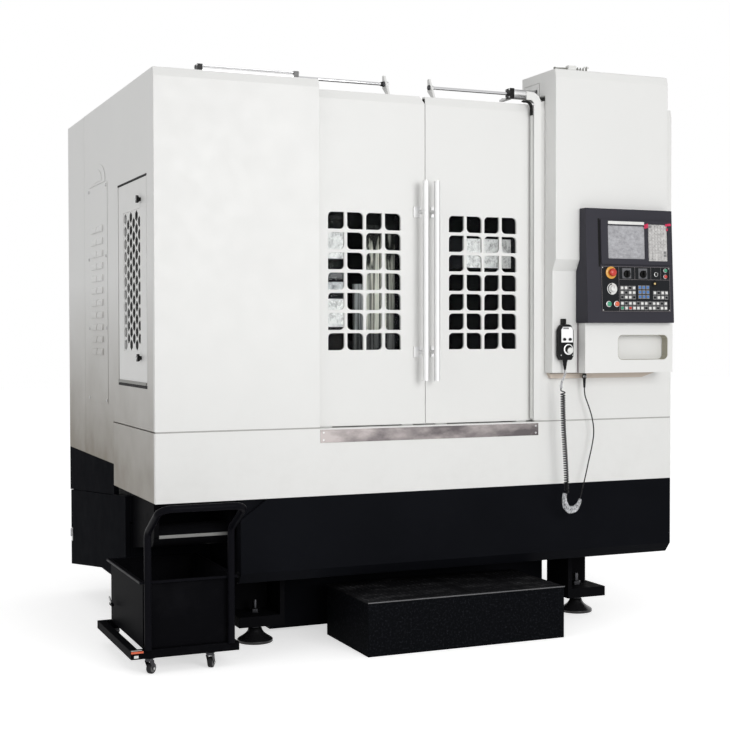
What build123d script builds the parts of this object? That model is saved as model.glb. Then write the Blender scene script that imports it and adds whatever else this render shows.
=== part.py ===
from build123d import *
import math
import os

# Vertical lathe in a closed housing, with a step and a chip cart.
# Millimetres. X runs to the right along the front, Y to the back, Z up from the floor.
# Until they are written, the solids stand with X = 0 on the left wall and Y = 0 on the front plane.

# Housing, from left to right: left cover, doorway, right cover
left_cover_width = 790.0
doorway_width = 1155.0
right_cover_width = 820.0
housing_depth = 2010.0
housing_top = 2690.0
sheet = 25.0
seam_gap = 6.0
seam_height = 1060.0
deck_bottom = 737.0
rear_step_start = 847.0
rear_step_height = 845.0
rear_panel_start = 1550.0
top_band_height = 40.0
top_band_depth = 9.0

# Pockets that the two leaves slide into, and the chamber between them
pocket_depth = 140.0
pocket_end_gap = 160.0
bay_wall = 15.0
chamber_back = 1250.0
chamber_roof_drop = 40.0
chamber_roof_thickness = 30.0
right_cover_drop = 25.0
jamb_corner_radius = 60.0

# Door leaves
leaf_front = 40.0
leaf_thickness = 38.0
leaf_skin = 12.0
leaf_bottom_gap = 6.0
leaf_drop = 40.0
leaf_seam_shift = 12.5
leaf_seam_gap = 3.0
leaf_overlap = 40.0
leaf_corner_width = 25.0
leaf_corner_height = 35.0
leaf_glide_gap = 0.3
leaf_glide_length = 60.0
leaf_travel = 400.0

# Window grids in the leaves
cell_columns = 4
cell_rows = 7
cell_width = 83.0
cell_height = 80.8
cell_gap = 15.0
cell_corner = 22.0
grid_top = 2077.0
left_grid_inset = 57.0
right_grid_inset = 84.0
glass_margin = 18.0
glass_thickness = 8.0

# Door handles
handle_diameter = 30.0
handle_bottom = 1271.0
handle_top = 2234.0
handle_stand_off = 30.0
handle_from_seam = 30.0
handle_foot_width = 38.0
handle_foot_height = 52.0
handle_foot_shift = 16.0
handle_foot_low = 1410.0
handle_foot_high = 2088.0
handle_foot_thickness = 10.0
handle_post_diameter = 18.0

# Door cylinders on the roof
cylinder_y = 100.0
cylinder_lift = 16.0
cylinder_tube_diameter = 46.0
cylinder_bore_diameter = 40.0
cylinder_cap_size = 52.0
cylinder_cap_length = 24.0
cylinder_length = 491.0
cylinder_foot_reach = 190.0
cylinder_foot_thickness = 10.0
left_head_gap = 49.0
right_head_gap = 27.0
rod_diameter = 16.0
rod_fit = 0.05
rod_hidden_length = 30.0
bracket_thickness = 10.0
bracket_above_rod = 44.0
bracket_front = 52.0
bracket_back = 125.0
left_bracket_from_seam = 190.0
right_bracket_from_seam = 53.0

# Service door in the left wall
service_front = 141.0
service_back = 714.0
service_above_seam = 202.0
service_height = 958.0
service_gap = 6.0
service_bay_depth = 150.0
service_grille_front = 260.0
service_grille_back = 600.0
service_grille_from_bottom = 156.0
service_grille_height = 666.0
grille_thickness = 4.0
grille_columns = 5
grille_rows = 13
grille_web = 15.0
pivot_diameter = 12.0
pivot_fit = 0.05
pivot_depth = 20.0
pivot_end_gap = 1.0
knob_diameter = 34.0
knob_height = 24.0
knob_stem_diameter = 14.0
knob_stem_length = 10.0
knob_y = 250.0
knob_from_bottom = 127.0
knob_from_top = 98.0

# Skirt and sill
sill_overlap = 20.0
sill_below_deck = 6.0
sill_height = 61.0
sill_thickness = 2.0

# Inside the work chamber
table_to_bays = 150.0
table_height = 130.0
table_overhang = 140.0
table_base_height = 60.0
table_y = 690.0
jaw_count = 4
jaw_length = 150.0
jaw_width = 60.0
jaw_height = 55.0
jaw_from_edge = 50.0
jaw_turn = 45.0
rail_below_ram_top = 120.0
rail_height = 330.0
rail_depth = 260.0
ram_from_doorway = 637.0
ram_width = 180.0
ram_depth = 230.0
ram_below_roof = 20.0
tool_block_width = 150.0
tool_block_height = 100.0
tool_block_above_jaws = 61.0
side_box_front = 300.0
side_box_depth = 240.0
left_box_width = 267.0
left_box_low = 1533.0
left_box_low_height = 157.0
left_box_high = 1870.0
left_box_high_height = 135.0
right_box_width = 283.0
right_box_bottom = 1836.0
right_box_height = 154.0

# Operator tower
tower_from_right = 101.0
tower_width = 664.0
tower_bottom = 1300.0
tower_above_roof = 120.0
tower_front_low = 78.0
tower_front_high = 110.0
tower_ledge_low = 1809.0
tower_ledge_high = 1867.0
tower_back = 230.0
tower_top_band = 42.0
tower_port_front = 55.0
tower_port_end_gap = 64.0
tower_port_top_wall = 50.0
base_strip_height = 28.0
base_strip_front = 26.0
base_strip_inset = 14.0

# Pipe fittings on the tower's roof
fitting_from_front = 40.0
fitting_edge = 12.0
fitting_pipe_diameter = 12.0
fitting_box_start = 75.0
fitting_box_length = 60.0
fitting_box_width = 32.0
fitting_box_height = 26.0
fitting_studs = 2
fitting_stud_pitch = 38.0
fitting_stud_diameter = 16.0
fitting_stud_height = 30.0

# Operator panel and the console below it
panel_from_tower_right = 16.0
panel_width = 513.0
console_height = 251.0
panel_height = 570.0
panel_front_low = 192.0
panel_front_high = 166.0
console_past_tower = 4.0
console_width = 522.0
console_front = 150.0
console_slot_from_right = 30.0
console_slot_width = 299.0
console_slot_from_bottom = 65.0
console_slot_height = 125.0
console_slot_radius = 26.0
console_slot_depth = 55.0
screen_from_panel_left = 120.0
screen_width = 221.0
screen_from_panel_bottom = 315.0
screen_height = 183.0
screen_thickness = 6.0
keypad_gap = 20.0
keypad_width = 122.0
keypad_from_panel_bottom = 299.0
keypad_height = 190.0
button_plate_from_panel_left = 99.0
button_plate_width = 402.0
button_plate_from_panel_bottom = 46.0
button_plate_height = 239.0
button_plate_thickness = 3.0
control_column = 48.0
stop_from_plate_top = 30.0
stop_diameter = 42.0
dial_from_plate_top = 120.0
dial_diameter = 38.0
lamp_from_plate_bottom = 41.0
lamp_diameter = 26.0
lamp_pitch = 36.4
control_height = 22.0

# Hand pendant and its cord
pendant_from_tower_left = 57.0
pendant_width = 82.0
pendant_depth = 38.0
pendant_bottom = 1376.0
pendant_top = 1526.0
pendant_edge_radius = 18.0
holder_thickness = 7.0
holder_width = 44.0
holder_top = 1572.0
holder_bottom = 1440.0
relief_length = 60.0
relief_top_diameter = 22.0
relief_wall = 1.0
pendant_dial_diameter = 52.0
pendant_dial_height = 16.0
pendant_dial_z = 1425.0
cord_diameter = 8.0
coil_diameter = 30.0
gland_from_tower_left = 204.0
gland_y = -50.0
gland_diameter = 24.0
gland_tail_diameter = 17.0
gland_length = 36.0
gland_tail_length = 42.0

# Black base under the housing
apron_left = 398.0
apron_fold = 395.0
apron_bottom = 345.0
apron_fold_back = 40.0
apron_thickness = 20.0
apron_corner_width = 132.0
apron_corner_height = 94.0
bed_left = 440.0
bed_from_right = 265.0
bed_front = 60.0
bed_from_back = 60.0
bed_bottom = 345.0
leg_front = 230.0
leg_from_back = 230.0
leg_bottom = 144.0
leg_width = 230.0
leg_depth = 220.0
leg_wall = 24.0
flange_thickness = 51.0
foot_left_x = 577.0
foot_from_right = 368.0
foot_pad_diameter = 175.0
foot_pad_height = 62.0
foot_rim_height = 18.0
foot_cone_diameter = 161.0
foot_neck_diameter = 62.0
foot_stud_diameter = 30.0
foot_nut_diameter = 52.0
foot_nut_height = 22.0
foot_stud_above = 62.0
tank_left = 700.0
tank_from_right = 495.0
tank_front = 480.0
tank_from_back = 110.0
tank_bottom = 20.0

# Left side under the housing
side_plate_front_height = 155.0
side_plate_back_height = 250.0
side_tank_front = 600.0
side_tank_right = 430.0
side_tank_from_back = 10.0
side_tank_low_start = 1170.0
side_tank_low_front = 266.0
side_tank_low_back = 157.0
side_tank_ledge = 18.0
chute_left = 40.0
chute_right = 430.0
chute_front = 190.0
chute_roof = 37.0
drum_diameter = 105.0
drum_z = 560.0
drum_y = 250.0

# Step in front of the doors
step_left = 952.0
step_right = 2002.0
step_front = -190.0
step_back = 335.0
step_height = 256.0
step_wall = 20.0
step_tread = 8.0
step_tread_overhang = 4.0
step_tread_seams = 3
step_seam_width = 4.0

# Chip cart
tray_left = -80.0
tray_right = 333.0
tray_front = -82.0
tray_back = 560.0
tray_bottom = 112.0
tray_top = 412.0
tray_wall = 5.0
tray_rim = 12.0
rail_size = 38.0
cart_frame_left = -140.0
cart_frame_right = 356.0
cart_frame_front = -106.0
cart_frame_back = 600.0
caster_left_x = -54.0
caster_right_x = 224.0
caster_front_y = -86.0
caster_back_y = 580.0
caster_wheel_diameter = 50.0
caster_wheel_width = 20.0
caster_trail = 14.0
caster_fork_sheet = 4.0
caster_fork_gap = 2.0
cart_handle_diameter = 32.0
cart_handle_bend = 628.0
cart_handle_top = 757.0
cart_handle_reach = 250.0
cart_handle_bend_radius = 55.0

# Worked out from the sizes above
doorway_left = left_cover_width
doorway_right = doorway_left + doorway_width
housing_width = doorway_right + right_cover_width
deck_top = seam_height - seam_gap
cover_top = housing_top - right_cover_drop
chamber_roof_top = housing_top - chamber_roof_drop
leaf_top = housing_top - leaf_drop
leaf_seam = (doorway_left + doorway_right) / 2 - leaf_seam_shift
leaf_bottom = deck_top + leaf_bottom_gap
leaf_back = leaf_front + leaf_thickness
left_pocket_start = doorway_left - leaf_overlap - leaf_travel - pocket_end_gap
right_pocket_end = doorway_right + leaf_overlap + leaf_travel + pocket_end_gap
left_bay_right = doorway_left - bay_wall
right_bay_left = doorway_right + bay_wall * 2
cell_pitch_x = cell_width + cell_gap
cell_pitch_z = cell_height + cell_gap
grid_width = cell_columns * cell_pitch_x - cell_gap
grid_height = cell_rows * cell_pitch_z - cell_gap
left_grid_start = doorway_left + left_grid_inset
right_grid_start = doorway_right - right_grid_inset - grid_width
cylinder_z = housing_top + cylinder_lift
bracket_top = cylinder_z + bracket_above_rod
left_bracket_x = leaf_seam - left_bracket_from_seam
right_bracket_x = leaf_seam + right_bracket_from_seam
left_rod_face = left_bracket_x
right_rod_face = right_bracket_x + bracket_thickness
left_cylinder_end = left_rod_face - leaf_travel - left_head_gap
right_cylinder_start = right_rod_face + leaf_travel + right_head_gap
service_bottom = seam_height + service_above_seam
service_top = service_bottom + service_height
service_grille_bottom = service_bottom + service_grille_from_bottom
service_grille_top = service_grille_bottom + service_grille_height
sill_top = deck_top - sill_below_deck
table_x = (left_bay_right + right_bay_left) / 2
table_diameter = right_bay_left - left_bay_right - 2 * table_to_bays
table_top = deck_top + table_base_height + table_height
ram_x = doorway_left + ram_from_doorway
ram_top = chamber_roof_top - chamber_roof_thickness - ram_below_roof
ram_bottom = table_top + jaw_height + tool_block_above_jaws + tool_block_height
rail_top = ram_top - rail_below_ram_top
tower_right = housing_width - tower_from_right
tower_left = tower_right - tower_width
tower_top = housing_top + tower_above_roof
panel_right = tower_right - panel_from_tower_right
panel_left = panel_right - panel_width
panel_bottom = tower_bottom + console_height
panel_top = panel_bottom + panel_height
screen_right = panel_left + screen_from_panel_left + screen_width
button_plate_bottom = panel_bottom + button_plate_from_panel_bottom
button_plate_top = button_plate_bottom + button_plate_height
pendant_x = tower_left + pendant_from_tower_left
gland_x = tower_left + gland_from_tower_left
bed_right = housing_width - bed_from_right
bed_back = housing_depth - bed_from_back
side_tank_back = housing_depth - side_tank_from_back
side_plate_bottom_front = rear_step_height - side_plate_front_height
side_plate_bottom_back = rear_step_height - side_plate_back_height
chute_top = deck_bottom - chute_roof
pivot_x = sheet / 2
pivot_y = service_back - sheet / 2
pendant_back = -tower_front_low - holder_thickness
pendant_mid_y = pendant_back - pendant_depth / 2
wheel_radius = caster_wheel_diameter / 2
cart_rail_bottom = tray_bottom - rail_size

# The whole stands with the middle of its footprint on the origin
overall_left = cart_frame_left
overall_right = housing_width
overall_front = tray_front - cart_handle_reach - cart_handle_diameter / 2
overall_back = housing_depth
origin_x = (overall_left + overall_right) / 2
origin_y = (overall_front + overall_back) / 2

# Route of the pendant's cord, by hand; each bend may use this share of its shorter run
bend_share = 0.45
cord_tail_points = [
    (pendant_x, pendant_mid_y, 1316.0),
    (pendant_x, pendant_mid_y, 1288.0),
    (2046.0, -103.0, 1256.0),
    (2046.0, -103.0, 1226.0),
]
cord_coil_points = [
    (2046.0, -103.0, 1226.0),
    (2046.0, -103.0, 1080.0),
    (2060.0, -102.0, 900.0),
    (2069.0, -101.0, 780.0),
    (2069.0, -101.0, 690.0),
]
cord_lead_points = [
    (2069.0, -101.0, 690.0),
    (2069.0, -101.0, 652.0),
    (2084.0, -98.0, 614.0),
    (2118.0, -95.0, 604.0),
    (2146.0, -90.0, 634.0),
    (2166.0, -82.0, 690.0),
    (2196.0, -70.0, 765.0),
    (2222.0, -62.0, 850.0),
    (2248.0, -55.0, 930.0),
    (2262.0, -52.0, 1000.0),
    (2250.0, -51.0, 1075.0),
    (2226.0, -50.0, 1140.0),
    (gland_x, gland_y, 1187.0),
    (gland_x, gland_y, 1222.0),
]


def block(x0, x1, y0, y1, z0, z1):
    """Box between two corners."""
    middle = Pos((x0 + x1) / 2, (y0 + y1) / 2, (z0 + z1) / 2)
    return middle * Box(abs(x1 - x0), abs(y1 - y0), abs(z1 - z0))


def prism(points, direction):
    """Closed outline pushed along a vector."""
    outline = make_face(Polyline(*points, close=True))
    return extrude(outline, amount=Vector(*direction).length, dir=Vector(*direction).normalized())


def prism_x(points, x0, x1):
    """Outline of (y, z) points between two X planes."""
    return prism([(x0, y, z) for y, z in points], (x1 - x0, 0, 0))


def prism_y(points, y0, y1):
    """Outline of (x, z) points between two Y planes."""
    return prism([(x, y0, z) for x, z in points], (0, y1 - y0, 0))


def prism_z(points, z0, z1):
    """Outline of (x, y) points between two Z planes."""
    return prism([(x, y, z0) for x, y in points], (0, 0, z1 - z0))


def rod_between(start, end, diameter):
    """Round bar from one point to another."""
    way = Vector(*end) - Vector(*start)
    plane = Plane(origin=Vector(*start), z_dir=way.normalized())
    return plane * Cylinder(diameter / 2, way.length, align=(Align.CENTER, Align.CENTER, Align.MIN))


def cone_between(start, end, start_diameter, end_diameter):
    """Round taper from one point to another."""
    way = Vector(*end) - Vector(*start)
    plane = Plane(origin=Vector(*start), z_dir=way.normalized())
    low = (Align.CENTER, Align.CENTER, Align.MIN)
    return plane * Cone(start_diameter / 2, end_diameter / 2, way.length, align=low)


def corner_radii(points):
    """Radius at each inner point of a route, as large as its two runs allow."""
    radii = []
    for before, corner, after in zip(points, points[1:], points[2:]):
        first = Vector(*corner) - Vector(*before)
        second = Vector(*after) - Vector(*corner)
        turn = math.radians(first.get_angle(second))
        radii.append(bend_share * min(first.length, second.length) / math.tan(turn / 2))
    return radii


def tube_along(points, diameter, radii, bore=0.0):
    """Round tube along straight runs joined by arcs."""
    path = FilletPolyline(*points, radius=radii)
    start = Plane(origin=path @ 0, z_dir=path % 0)
    section = start * Circle(diameter / 2)
    if bore > 0:
        section = section - start * Circle(bore / 2)
    return sweep(section, path=path)


# Housing

def front_cover(x0, x1, top):
    """Front sheet with its top band leaning back."""
    band = top - top_band_height
    outline = [(0, seam_height), (sheet, seam_height), (sheet, top), (top_band_depth, top), (0, band)]
    return prism_x(outline, x0, x1)


def left_front_cover():
    return front_cover(0, doorway_left, housing_top)


def right_front_cover():
    """Front sheet right of the doorway, with a round corner beside the doors."""
    cover = front_cover(doorway_right, housing_width, cover_top)
    corner = block(doorway_right, doorway_right + jamb_corner_radius, 0, sheet,
                   cover_top - jamb_corner_radius, cover_top)
    centre = (doorway_right + jamb_corner_radius, 0, cover_top - jamb_corner_radius)
    keep = rod_between(centre, (centre[0], sheet, centre[2]), 2 * jamb_corner_radius)
    return cover - (corner - keep)


def front_skirt():
    return block(0, housing_width, 0, sheet, deck_bottom, deck_top)


def left_skirt():
    return block(0, sheet, sheet, rear_step_start, deck_bottom, deck_top)


def sill_strip():
    return block(doorway_left, doorway_right + sill_overlap, -sill_thickness, 0,
                 sill_top - sill_height, sill_top)


def service_opening(x0, x1):
    return block(x0, x1, service_front - service_gap, service_back + service_gap,
                 service_bottom - service_gap, service_top + service_gap)


def left_side_wall():
    """Side sheet with the service door's opening and its two pivot pins."""
    outline = [(sheet, seam_height), (rear_step_start, seam_height), (rear_step_start, rear_step_height),
               (rear_panel_start - seam_gap, rear_step_height), (rear_panel_start - seam_gap, housing_top),
               (sheet, housing_top)]
    wall = prism_x(outline, 0, sheet) - service_opening(0, sheet)
    reach = service_gap + pivot_depth
    for z, way in ((service_bottom - service_gap, 1), (service_top + service_gap, -1)):
        wall += rod_between((pivot_x, pivot_y, z), (pivot_x, pivot_y, z + way * reach), pivot_diameter)
    return wall


def left_rear_wall():
    return block(0, sheet, rear_panel_start, housing_depth, rear_step_height, housing_top)


def left_bay():
    """Closed block left of the chamber, with the door pocket before it and a bay for the service door."""
    front = pocket_depth
    outline = [(sheet, sheet), (left_pocket_start, sheet), (left_pocket_start, front), (left_bay_right, front),
               (left_bay_right, housing_depth), (sheet, housing_depth)]
    body = prism_z(outline, deck_top, housing_top)
    return body - service_opening(sheet, sheet + service_bay_depth)


def right_bay():
    """Closed block right of the chamber, with the door pocket before it."""
    front = pocket_depth
    outline = [(right_bay_left, front), (right_pocket_end, front), (right_pocket_end, sheet),
               (housing_width, sheet), (housing_width, housing_depth), (right_bay_left, housing_depth)]
    return prism_z(outline, deck_top, cover_top)


def column_block():
    return block(left_bay_right, right_bay_left, chamber_back, housing_depth, deck_top, housing_top)


def chamber_roof():
    return block(left_bay_right, right_bay_left, pocket_depth, chamber_back,
                 chamber_roof_top - chamber_roof_thickness, chamber_roof_top)


def base_deck():
    return block(sheet, housing_width, sheet, housing_depth, deck_bottom, deck_top)


# Doors

def grid_cut(x_start, y0, y1):
    """All the window cells of one leaf, each with two opposite round corners."""
    cells = []
    near = cell_width / 2
    for column in range(cell_columns):
        x0 = x_start + column * cell_pitch_x
        x1 = x0 + cell_width
        for row in range(cell_rows):
            z1 = grid_top - row * cell_pitch_z
            z0 = z1 - cell_height
            cell = block(x0, x1, y0, y1, z0, z1)
            rounded = ((x0, z1), (x1, z0)) if column % 2 == 0 else ((x1, z1), (x0, z0))
            edges = [edge for edge in cell.edges().filter_by(Axis.Y)
                     for x, z in rounded
                     if abs(edge.center().X - x) < near and abs(edge.center().Z - z) < near]
            cells.append(fillet(edges, cell_corner))
    return Compound(cells)


def glass_plate(x_start, front):
    return block(x_start - glass_margin, x_start + grid_width + glass_margin, front, front + glass_thickness,
                 grid_top - grid_height - glass_margin, grid_top + glass_margin)


def leaf(x0, x1, grid_start, bracket_x):
    """Sliding leaf with its window cells, glides and the bracket that its cylinder pulls."""
    band = leaf_top - top_band_height
    outline = [(leaf_front, leaf_bottom), (leaf_back, leaf_bottom), (leaf_back, leaf_top),
               (leaf_front + top_band_depth, leaf_top), (leaf_front, band)]
    body = prism_x(outline, x0, x1)
    skin = leaf_front + leaf_skin
    body -= grid_cut(grid_start, leaf_front, skin)
    body -= block(grid_start - glass_margin, grid_start + grid_width + glass_margin, skin, leaf_back,
                  grid_top - grid_height - glass_margin, grid_top + glass_margin)
    for x in (x0 + leaf_glide_length, x1 - 2 * leaf_glide_length):
        body += block(x, x + leaf_glide_length, leaf_front + leaf_skin, leaf_back,
                      deck_top + leaf_glide_gap, leaf_bottom)
    body += prism_x([(bracket_front, leaf_top), (leaf_back, leaf_top), (bracket_back, cylinder_z - rod_diameter),
                     (bracket_back, bracket_top), (bracket_back - rod_diameter, bracket_top)],
                    bracket_x, bracket_x + bracket_thickness)
    return body


def left_leaf():
    """Left leaf, with its upper meeting corner cut off."""
    edge = leaf_seam - leaf_seam_gap / 2
    body = leaf(doorway_left - leaf_overlap, edge, left_grid_start, left_bracket_x)
    corner = prism_y([(edge - leaf_corner_width, leaf_top), (edge, leaf_top),
                      (edge, leaf_top - leaf_corner_height)], leaf_front, leaf_back)
    return body - corner


def right_leaf():
    edge = leaf_seam + leaf_seam_gap / 2
    return leaf(edge, doorway_right + leaf_overlap, right_grid_start, right_bracket_x)


def door_handle(side):
    """Upright tube on two posts with foot plates; side is -1 for the left leaf and 1 for the right."""
    x = leaf_seam + side * handle_from_seam
    y = -handle_stand_off
    handle = rod_between((x, y, handle_bottom), (x, y, handle_top), handle_diameter)
    foot_x = x + side * handle_foot_shift
    for z in (handle_foot_low, handle_foot_high):
        handle += block(foot_x - handle_foot_width / 2, foot_x + handle_foot_width / 2,
                        leaf_front - handle_foot_thickness, leaf_front,
                        z - handle_foot_height / 2, z + handle_foot_height / 2)
        handle += rod_between((x, y, z), (x, leaf_front - handle_foot_thickness, z), handle_post_diameter)
    return handle


def door_rod(bracket_face, cylinder_face, way):
    """Piston rod from the bracket into the cylinder; way points from the bracket to the cylinder."""
    end = cylinder_face + way * (cylinder_cap_length + rod_hidden_length)
    return rod_between((bracket_face, cylinder_y, cylinder_z), (end, cylinder_y, cylinder_z), rod_diameter)


def door_cylinder(head_face, way):
    """Cylinder that a door's rod runs into; way points from its head to its far end."""
    tail_face = head_face + way * cylinder_length
    half = cylinder_cap_size / 2
    body = rod_between((head_face, cylinder_y, cylinder_z), (tail_face, cylinder_y, cylinder_z),
                       cylinder_tube_diameter)
    for x in (head_face, tail_face - way * cylinder_cap_length):
        body += block(x, x + way * cylinder_cap_length, cylinder_y - half, cylinder_y + half,
                      cylinder_z - half, cylinder_z + half)
        body += block(x, x + way * cylinder_cap_length, cylinder_y, cylinder_foot_reach,
                      housing_top, housing_top + cylinder_foot_thickness)
    inner = (head_face + way * cylinder_cap_length, tail_face - way * cylinder_cap_length)
    body -= rod_between((inner[0], cylinder_y, cylinder_z), (inner[1], cylinder_y, cylinder_z),
                        cylinder_bore_diameter)
    body -= rod_between((head_face, cylinder_y, cylinder_z), (inner[0], cylinder_y, cylinder_z),
                        rod_diameter + 2 * rod_fit)
    return body


# Service door

def service_door():
    """Hinged door with a grille opening; its back edge is round about the pivots."""
    door = block(0, sheet, service_front, pivot_y, service_bottom, service_top)
    door += rod_between((pivot_x, pivot_y, service_bottom), (pivot_x, pivot_y, service_top), sheet)
    door -= block(0, sheet, service_grille_front, service_grille_back, service_grille_bottom, service_grille_top)
    hole = pivot_diameter + 2 * pivot_fit
    for z, way in ((service_bottom, 1), (service_top, -1)):
        end = z + way * (pivot_depth + pivot_end_gap)
        door -= rod_between((pivot_x, pivot_y, z), (pivot_x, pivot_y, end), hole)
    return door


def service_grille():
    """Flat grille with staggered rows of square holes."""
    width = service_grille_back - service_grille_front
    height = service_grille_top - service_grille_bottom
    pitch_y = width / grille_columns
    pitch_z = height / grille_rows
    grille = block(pivot_x - grille_thickness / 2, pivot_x + grille_thickness / 2,
                   service_grille_front, service_grille_back, service_grille_bottom, service_grille_top)
    holes = []
    for row in range(grille_rows):
        z0 = service_grille_bottom + row * pitch_z + grille_web / 2
        shift = pitch_y / 2 if row % 2 else 0
        count = grille_columns - 1 if row % 2 else grille_columns
        for column in range(count):
            y0 = service_grille_front + shift + column * pitch_y + grille_web / 2
            holes.append(block(0, sheet, y0, y0 + pitch_y - grille_web, z0, z0 + pitch_z - grille_web))
    return grille - Compound(holes)


def service_knobs():
    knobs = []
    for z in (service_bottom + knob_from_bottom, service_top - knob_from_top):
        stem = rod_between((0, knob_y, z), (-knob_stem_length, knob_y, z), knob_stem_diameter)
        head = rod_between((-knob_stem_length, knob_y, z), (-knob_height, knob_y, z), knob_diameter)
        knobs.append(stem + head)
    return Compound(knobs)


# Inside the chamber

def work_table():
    """Round faceplate on its base, with four jaws on it."""
    base_top = deck_top + table_base_height
    table = rod_between((table_x, table_y, deck_top), (table_x, table_y, base_top),
                        table_diameter - 2 * table_overhang)
    table += rod_between((table_x, table_y, base_top), (table_x, table_y, table_top), table_diameter)
    reach = table_diameter / 2 - jaw_from_edge
    for index in range(jaw_count):
        jaw = block(reach - jaw_length, reach, -jaw_width / 2, jaw_width / 2, 0, jaw_height)
        table += Pos(table_x, table_y, table_top) * Rot(0, 0, jaw_turn + 360 / jaw_count * index) * jaw
    return table


def cross_rail():
    return block(left_bay_right, right_bay_left, chamber_back - rail_depth, chamber_back,
                 rail_top - rail_height, rail_top)


def tool_ram():
    """Upright ram in front of the rail, with its tool block below."""
    back = chamber_back - rail_depth
    ram = block(ram_x - ram_width / 2, ram_x + ram_width / 2, back - ram_depth, back, ram_bottom, ram_top)
    middle = back - ram_depth / 2
    ram += block(ram_x - tool_block_width / 2, ram_x + tool_block_width / 2,
                 middle - tool_block_width / 2, middle + tool_block_width / 2,
                 ram_bottom - tool_block_height, ram_bottom)
    return ram


def side_boxes():
    """Sheet boxes on the chamber's side walls, two on the left and one on the right."""
    back = side_box_front + side_box_depth
    left = left_bay_right
    right = right_bay_left
    return Compound([
        block(left, left + left_box_width, side_box_front, back, left_box_low, left_box_low + left_box_low_height),
        block(left, left + left_box_width, side_box_front, back, left_box_high,
              left_box_high + left_box_high_height),
        block(right - right_box_width, right, side_box_front, back, right_box_bottom,
              right_box_bottom + right_box_height)])


# Operator tower

def tower_shell():
    """Tall housing that overhangs its lower front and runs back over the roof."""
    band = tower_top - tower_top_band
    outline = [(0, tower_bottom), (-tower_front_low, tower_bottom), (-tower_front_low, tower_ledge_low),
               (-tower_front_high, tower_ledge_high), (-tower_front_high, band),
               (-tower_front_high + top_band_depth, tower_top), (tower_back, tower_top),
               (tower_back, housing_top), (0, housing_top)]
    shell = prism_x(outline, tower_left, tower_right)
    port_end = right_cylinder_start + cylinder_length + tower_port_end_gap
    port = block(tower_left, port_end, tower_port_front, tower_back - sheet,
                 housing_top, tower_top - tower_port_top_wall)
    return shell - port


def roof_fittings():
    """Small pipe fittings standing on the tower's roof."""
    middle = -tower_front_high + fitting_from_front
    box_end = tower_left + fitting_box_start + fitting_box_length
    box = block(tower_left + fitting_box_start, box_end, middle - fitting_box_width / 2,
                middle + fitting_box_width / 2, tower_top, tower_top + fitting_box_height)
    pipe_z = tower_top + fitting_pipe_diameter / 2
    pipe = rod_between((tower_left + fitting_edge, middle, pipe_z),
                       (tower_left + fitting_box_start, middle, pipe_z), fitting_pipe_diameter)
    fittings = [box, pipe]
    for index in range(fitting_studs):
        x = box_end + (index + 1) * fitting_stud_pitch
        fittings.append(rod_between((x, middle, tower_top), (x, middle, tower_top + fitting_stud_height),
                                    fitting_stud_diameter))
    return Compound(fittings)


def tower_base_strip():
    return block(tower_left + base_strip_inset, tower_right - base_strip_inset, -base_strip_front, 0,
                 tower_bottom - base_strip_height, tower_bottom)


def console_box():
    """Box below the panel, with a rounded hand slot in its front."""
    right = tower_right + console_past_tower
    box = block(right - console_width, right, -console_front, -tower_front_low, tower_bottom, panel_bottom)
    slot_right = right - console_slot_from_right
    slot_bottom = tower_bottom + console_slot_from_bottom
    slot = block(slot_right - console_slot_width, slot_right, -console_front, -console_front + console_slot_depth,
                 slot_bottom, slot_bottom + console_slot_height)
    slot = fillet(slot.edges().filter_by(Axis.Y), console_slot_radius)
    return box - slot


def control_panel():
    """Black wedge that carries the screen and the controls, lower edge further out."""
    outline = [(-tower_front_low, panel_bottom), (-panel_front_low, panel_bottom), (-panel_front_high, panel_top),
               (-tower_front_high, panel_top), (-tower_front_high, tower_ledge_high),
               (-tower_front_low, tower_ledge_low)]
    return prism_x(outline, panel_left, panel_right)


def panel_face_y(z):
    """Y of the panel's leaning face at a height."""
    share = (z - panel_bottom) / (panel_top - panel_bottom)
    return -(panel_front_low + share * (panel_front_high - panel_front_low))


def panel_outward():
    """Direction square to the panel's leaning face."""
    return Vector(0, panel_bottom - panel_top, panel_front_low - panel_front_high).normalized()


def panel_plate(x0, x1, z0, z1, thickness):
    """Flat plate lying on the panel's leaning face."""
    low = Vector(0, panel_face_y(z0), z0)
    high = Vector(0, panel_face_y(z1), z1)
    out = panel_outward() * thickness
    return prism_x([(point.Y, point.Z) for point in (low, high, high + out, low + out)], x0, x1)


def display_screen():
    bottom = panel_bottom + screen_from_panel_bottom
    return panel_plate(screen_right - screen_width, screen_right, bottom, bottom + screen_height, screen_thickness)


def keypad():
    left = screen_right + keypad_gap
    bottom = panel_bottom + keypad_from_panel_bottom
    return panel_plate(left, left + keypad_width, bottom, bottom + keypad_height, screen_thickness)


def button_plate():
    left = panel_left + button_plate_from_panel_left
    return panel_plate(left, left + button_plate_width, button_plate_bottom, button_plate_top,
                       button_plate_thickness)


def panel_controls():
    """Stop button, feed dial and two lamps in the column left of the keys."""
    controls = []
    outward = panel_outward()
    middle = panel_left + button_plate_from_panel_left + control_column
    lamp_z = button_plate_bottom + lamp_from_plate_bottom
    for x, z, diameter in ((middle, button_plate_top - stop_from_plate_top, stop_diameter),
                           (middle, button_plate_top - dial_from_plate_top, dial_diameter),
                           (middle - lamp_pitch / 2, lamp_z, lamp_diameter),
                           (middle + lamp_pitch / 2, lamp_z, lamp_diameter)):
        foot = Vector(x, panel_face_y(z), z) + outward * button_plate_thickness
        controls.append(rod_between(foot, foot + outward * control_height, diameter))
    return Compound(controls)


# Hand pendant and cord

def pendant_holder():
    return block(pendant_x - holder_width / 2, pendant_x + holder_width / 2, pendant_back, -tower_front_low,
                 holder_bottom, holder_top)


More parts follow.
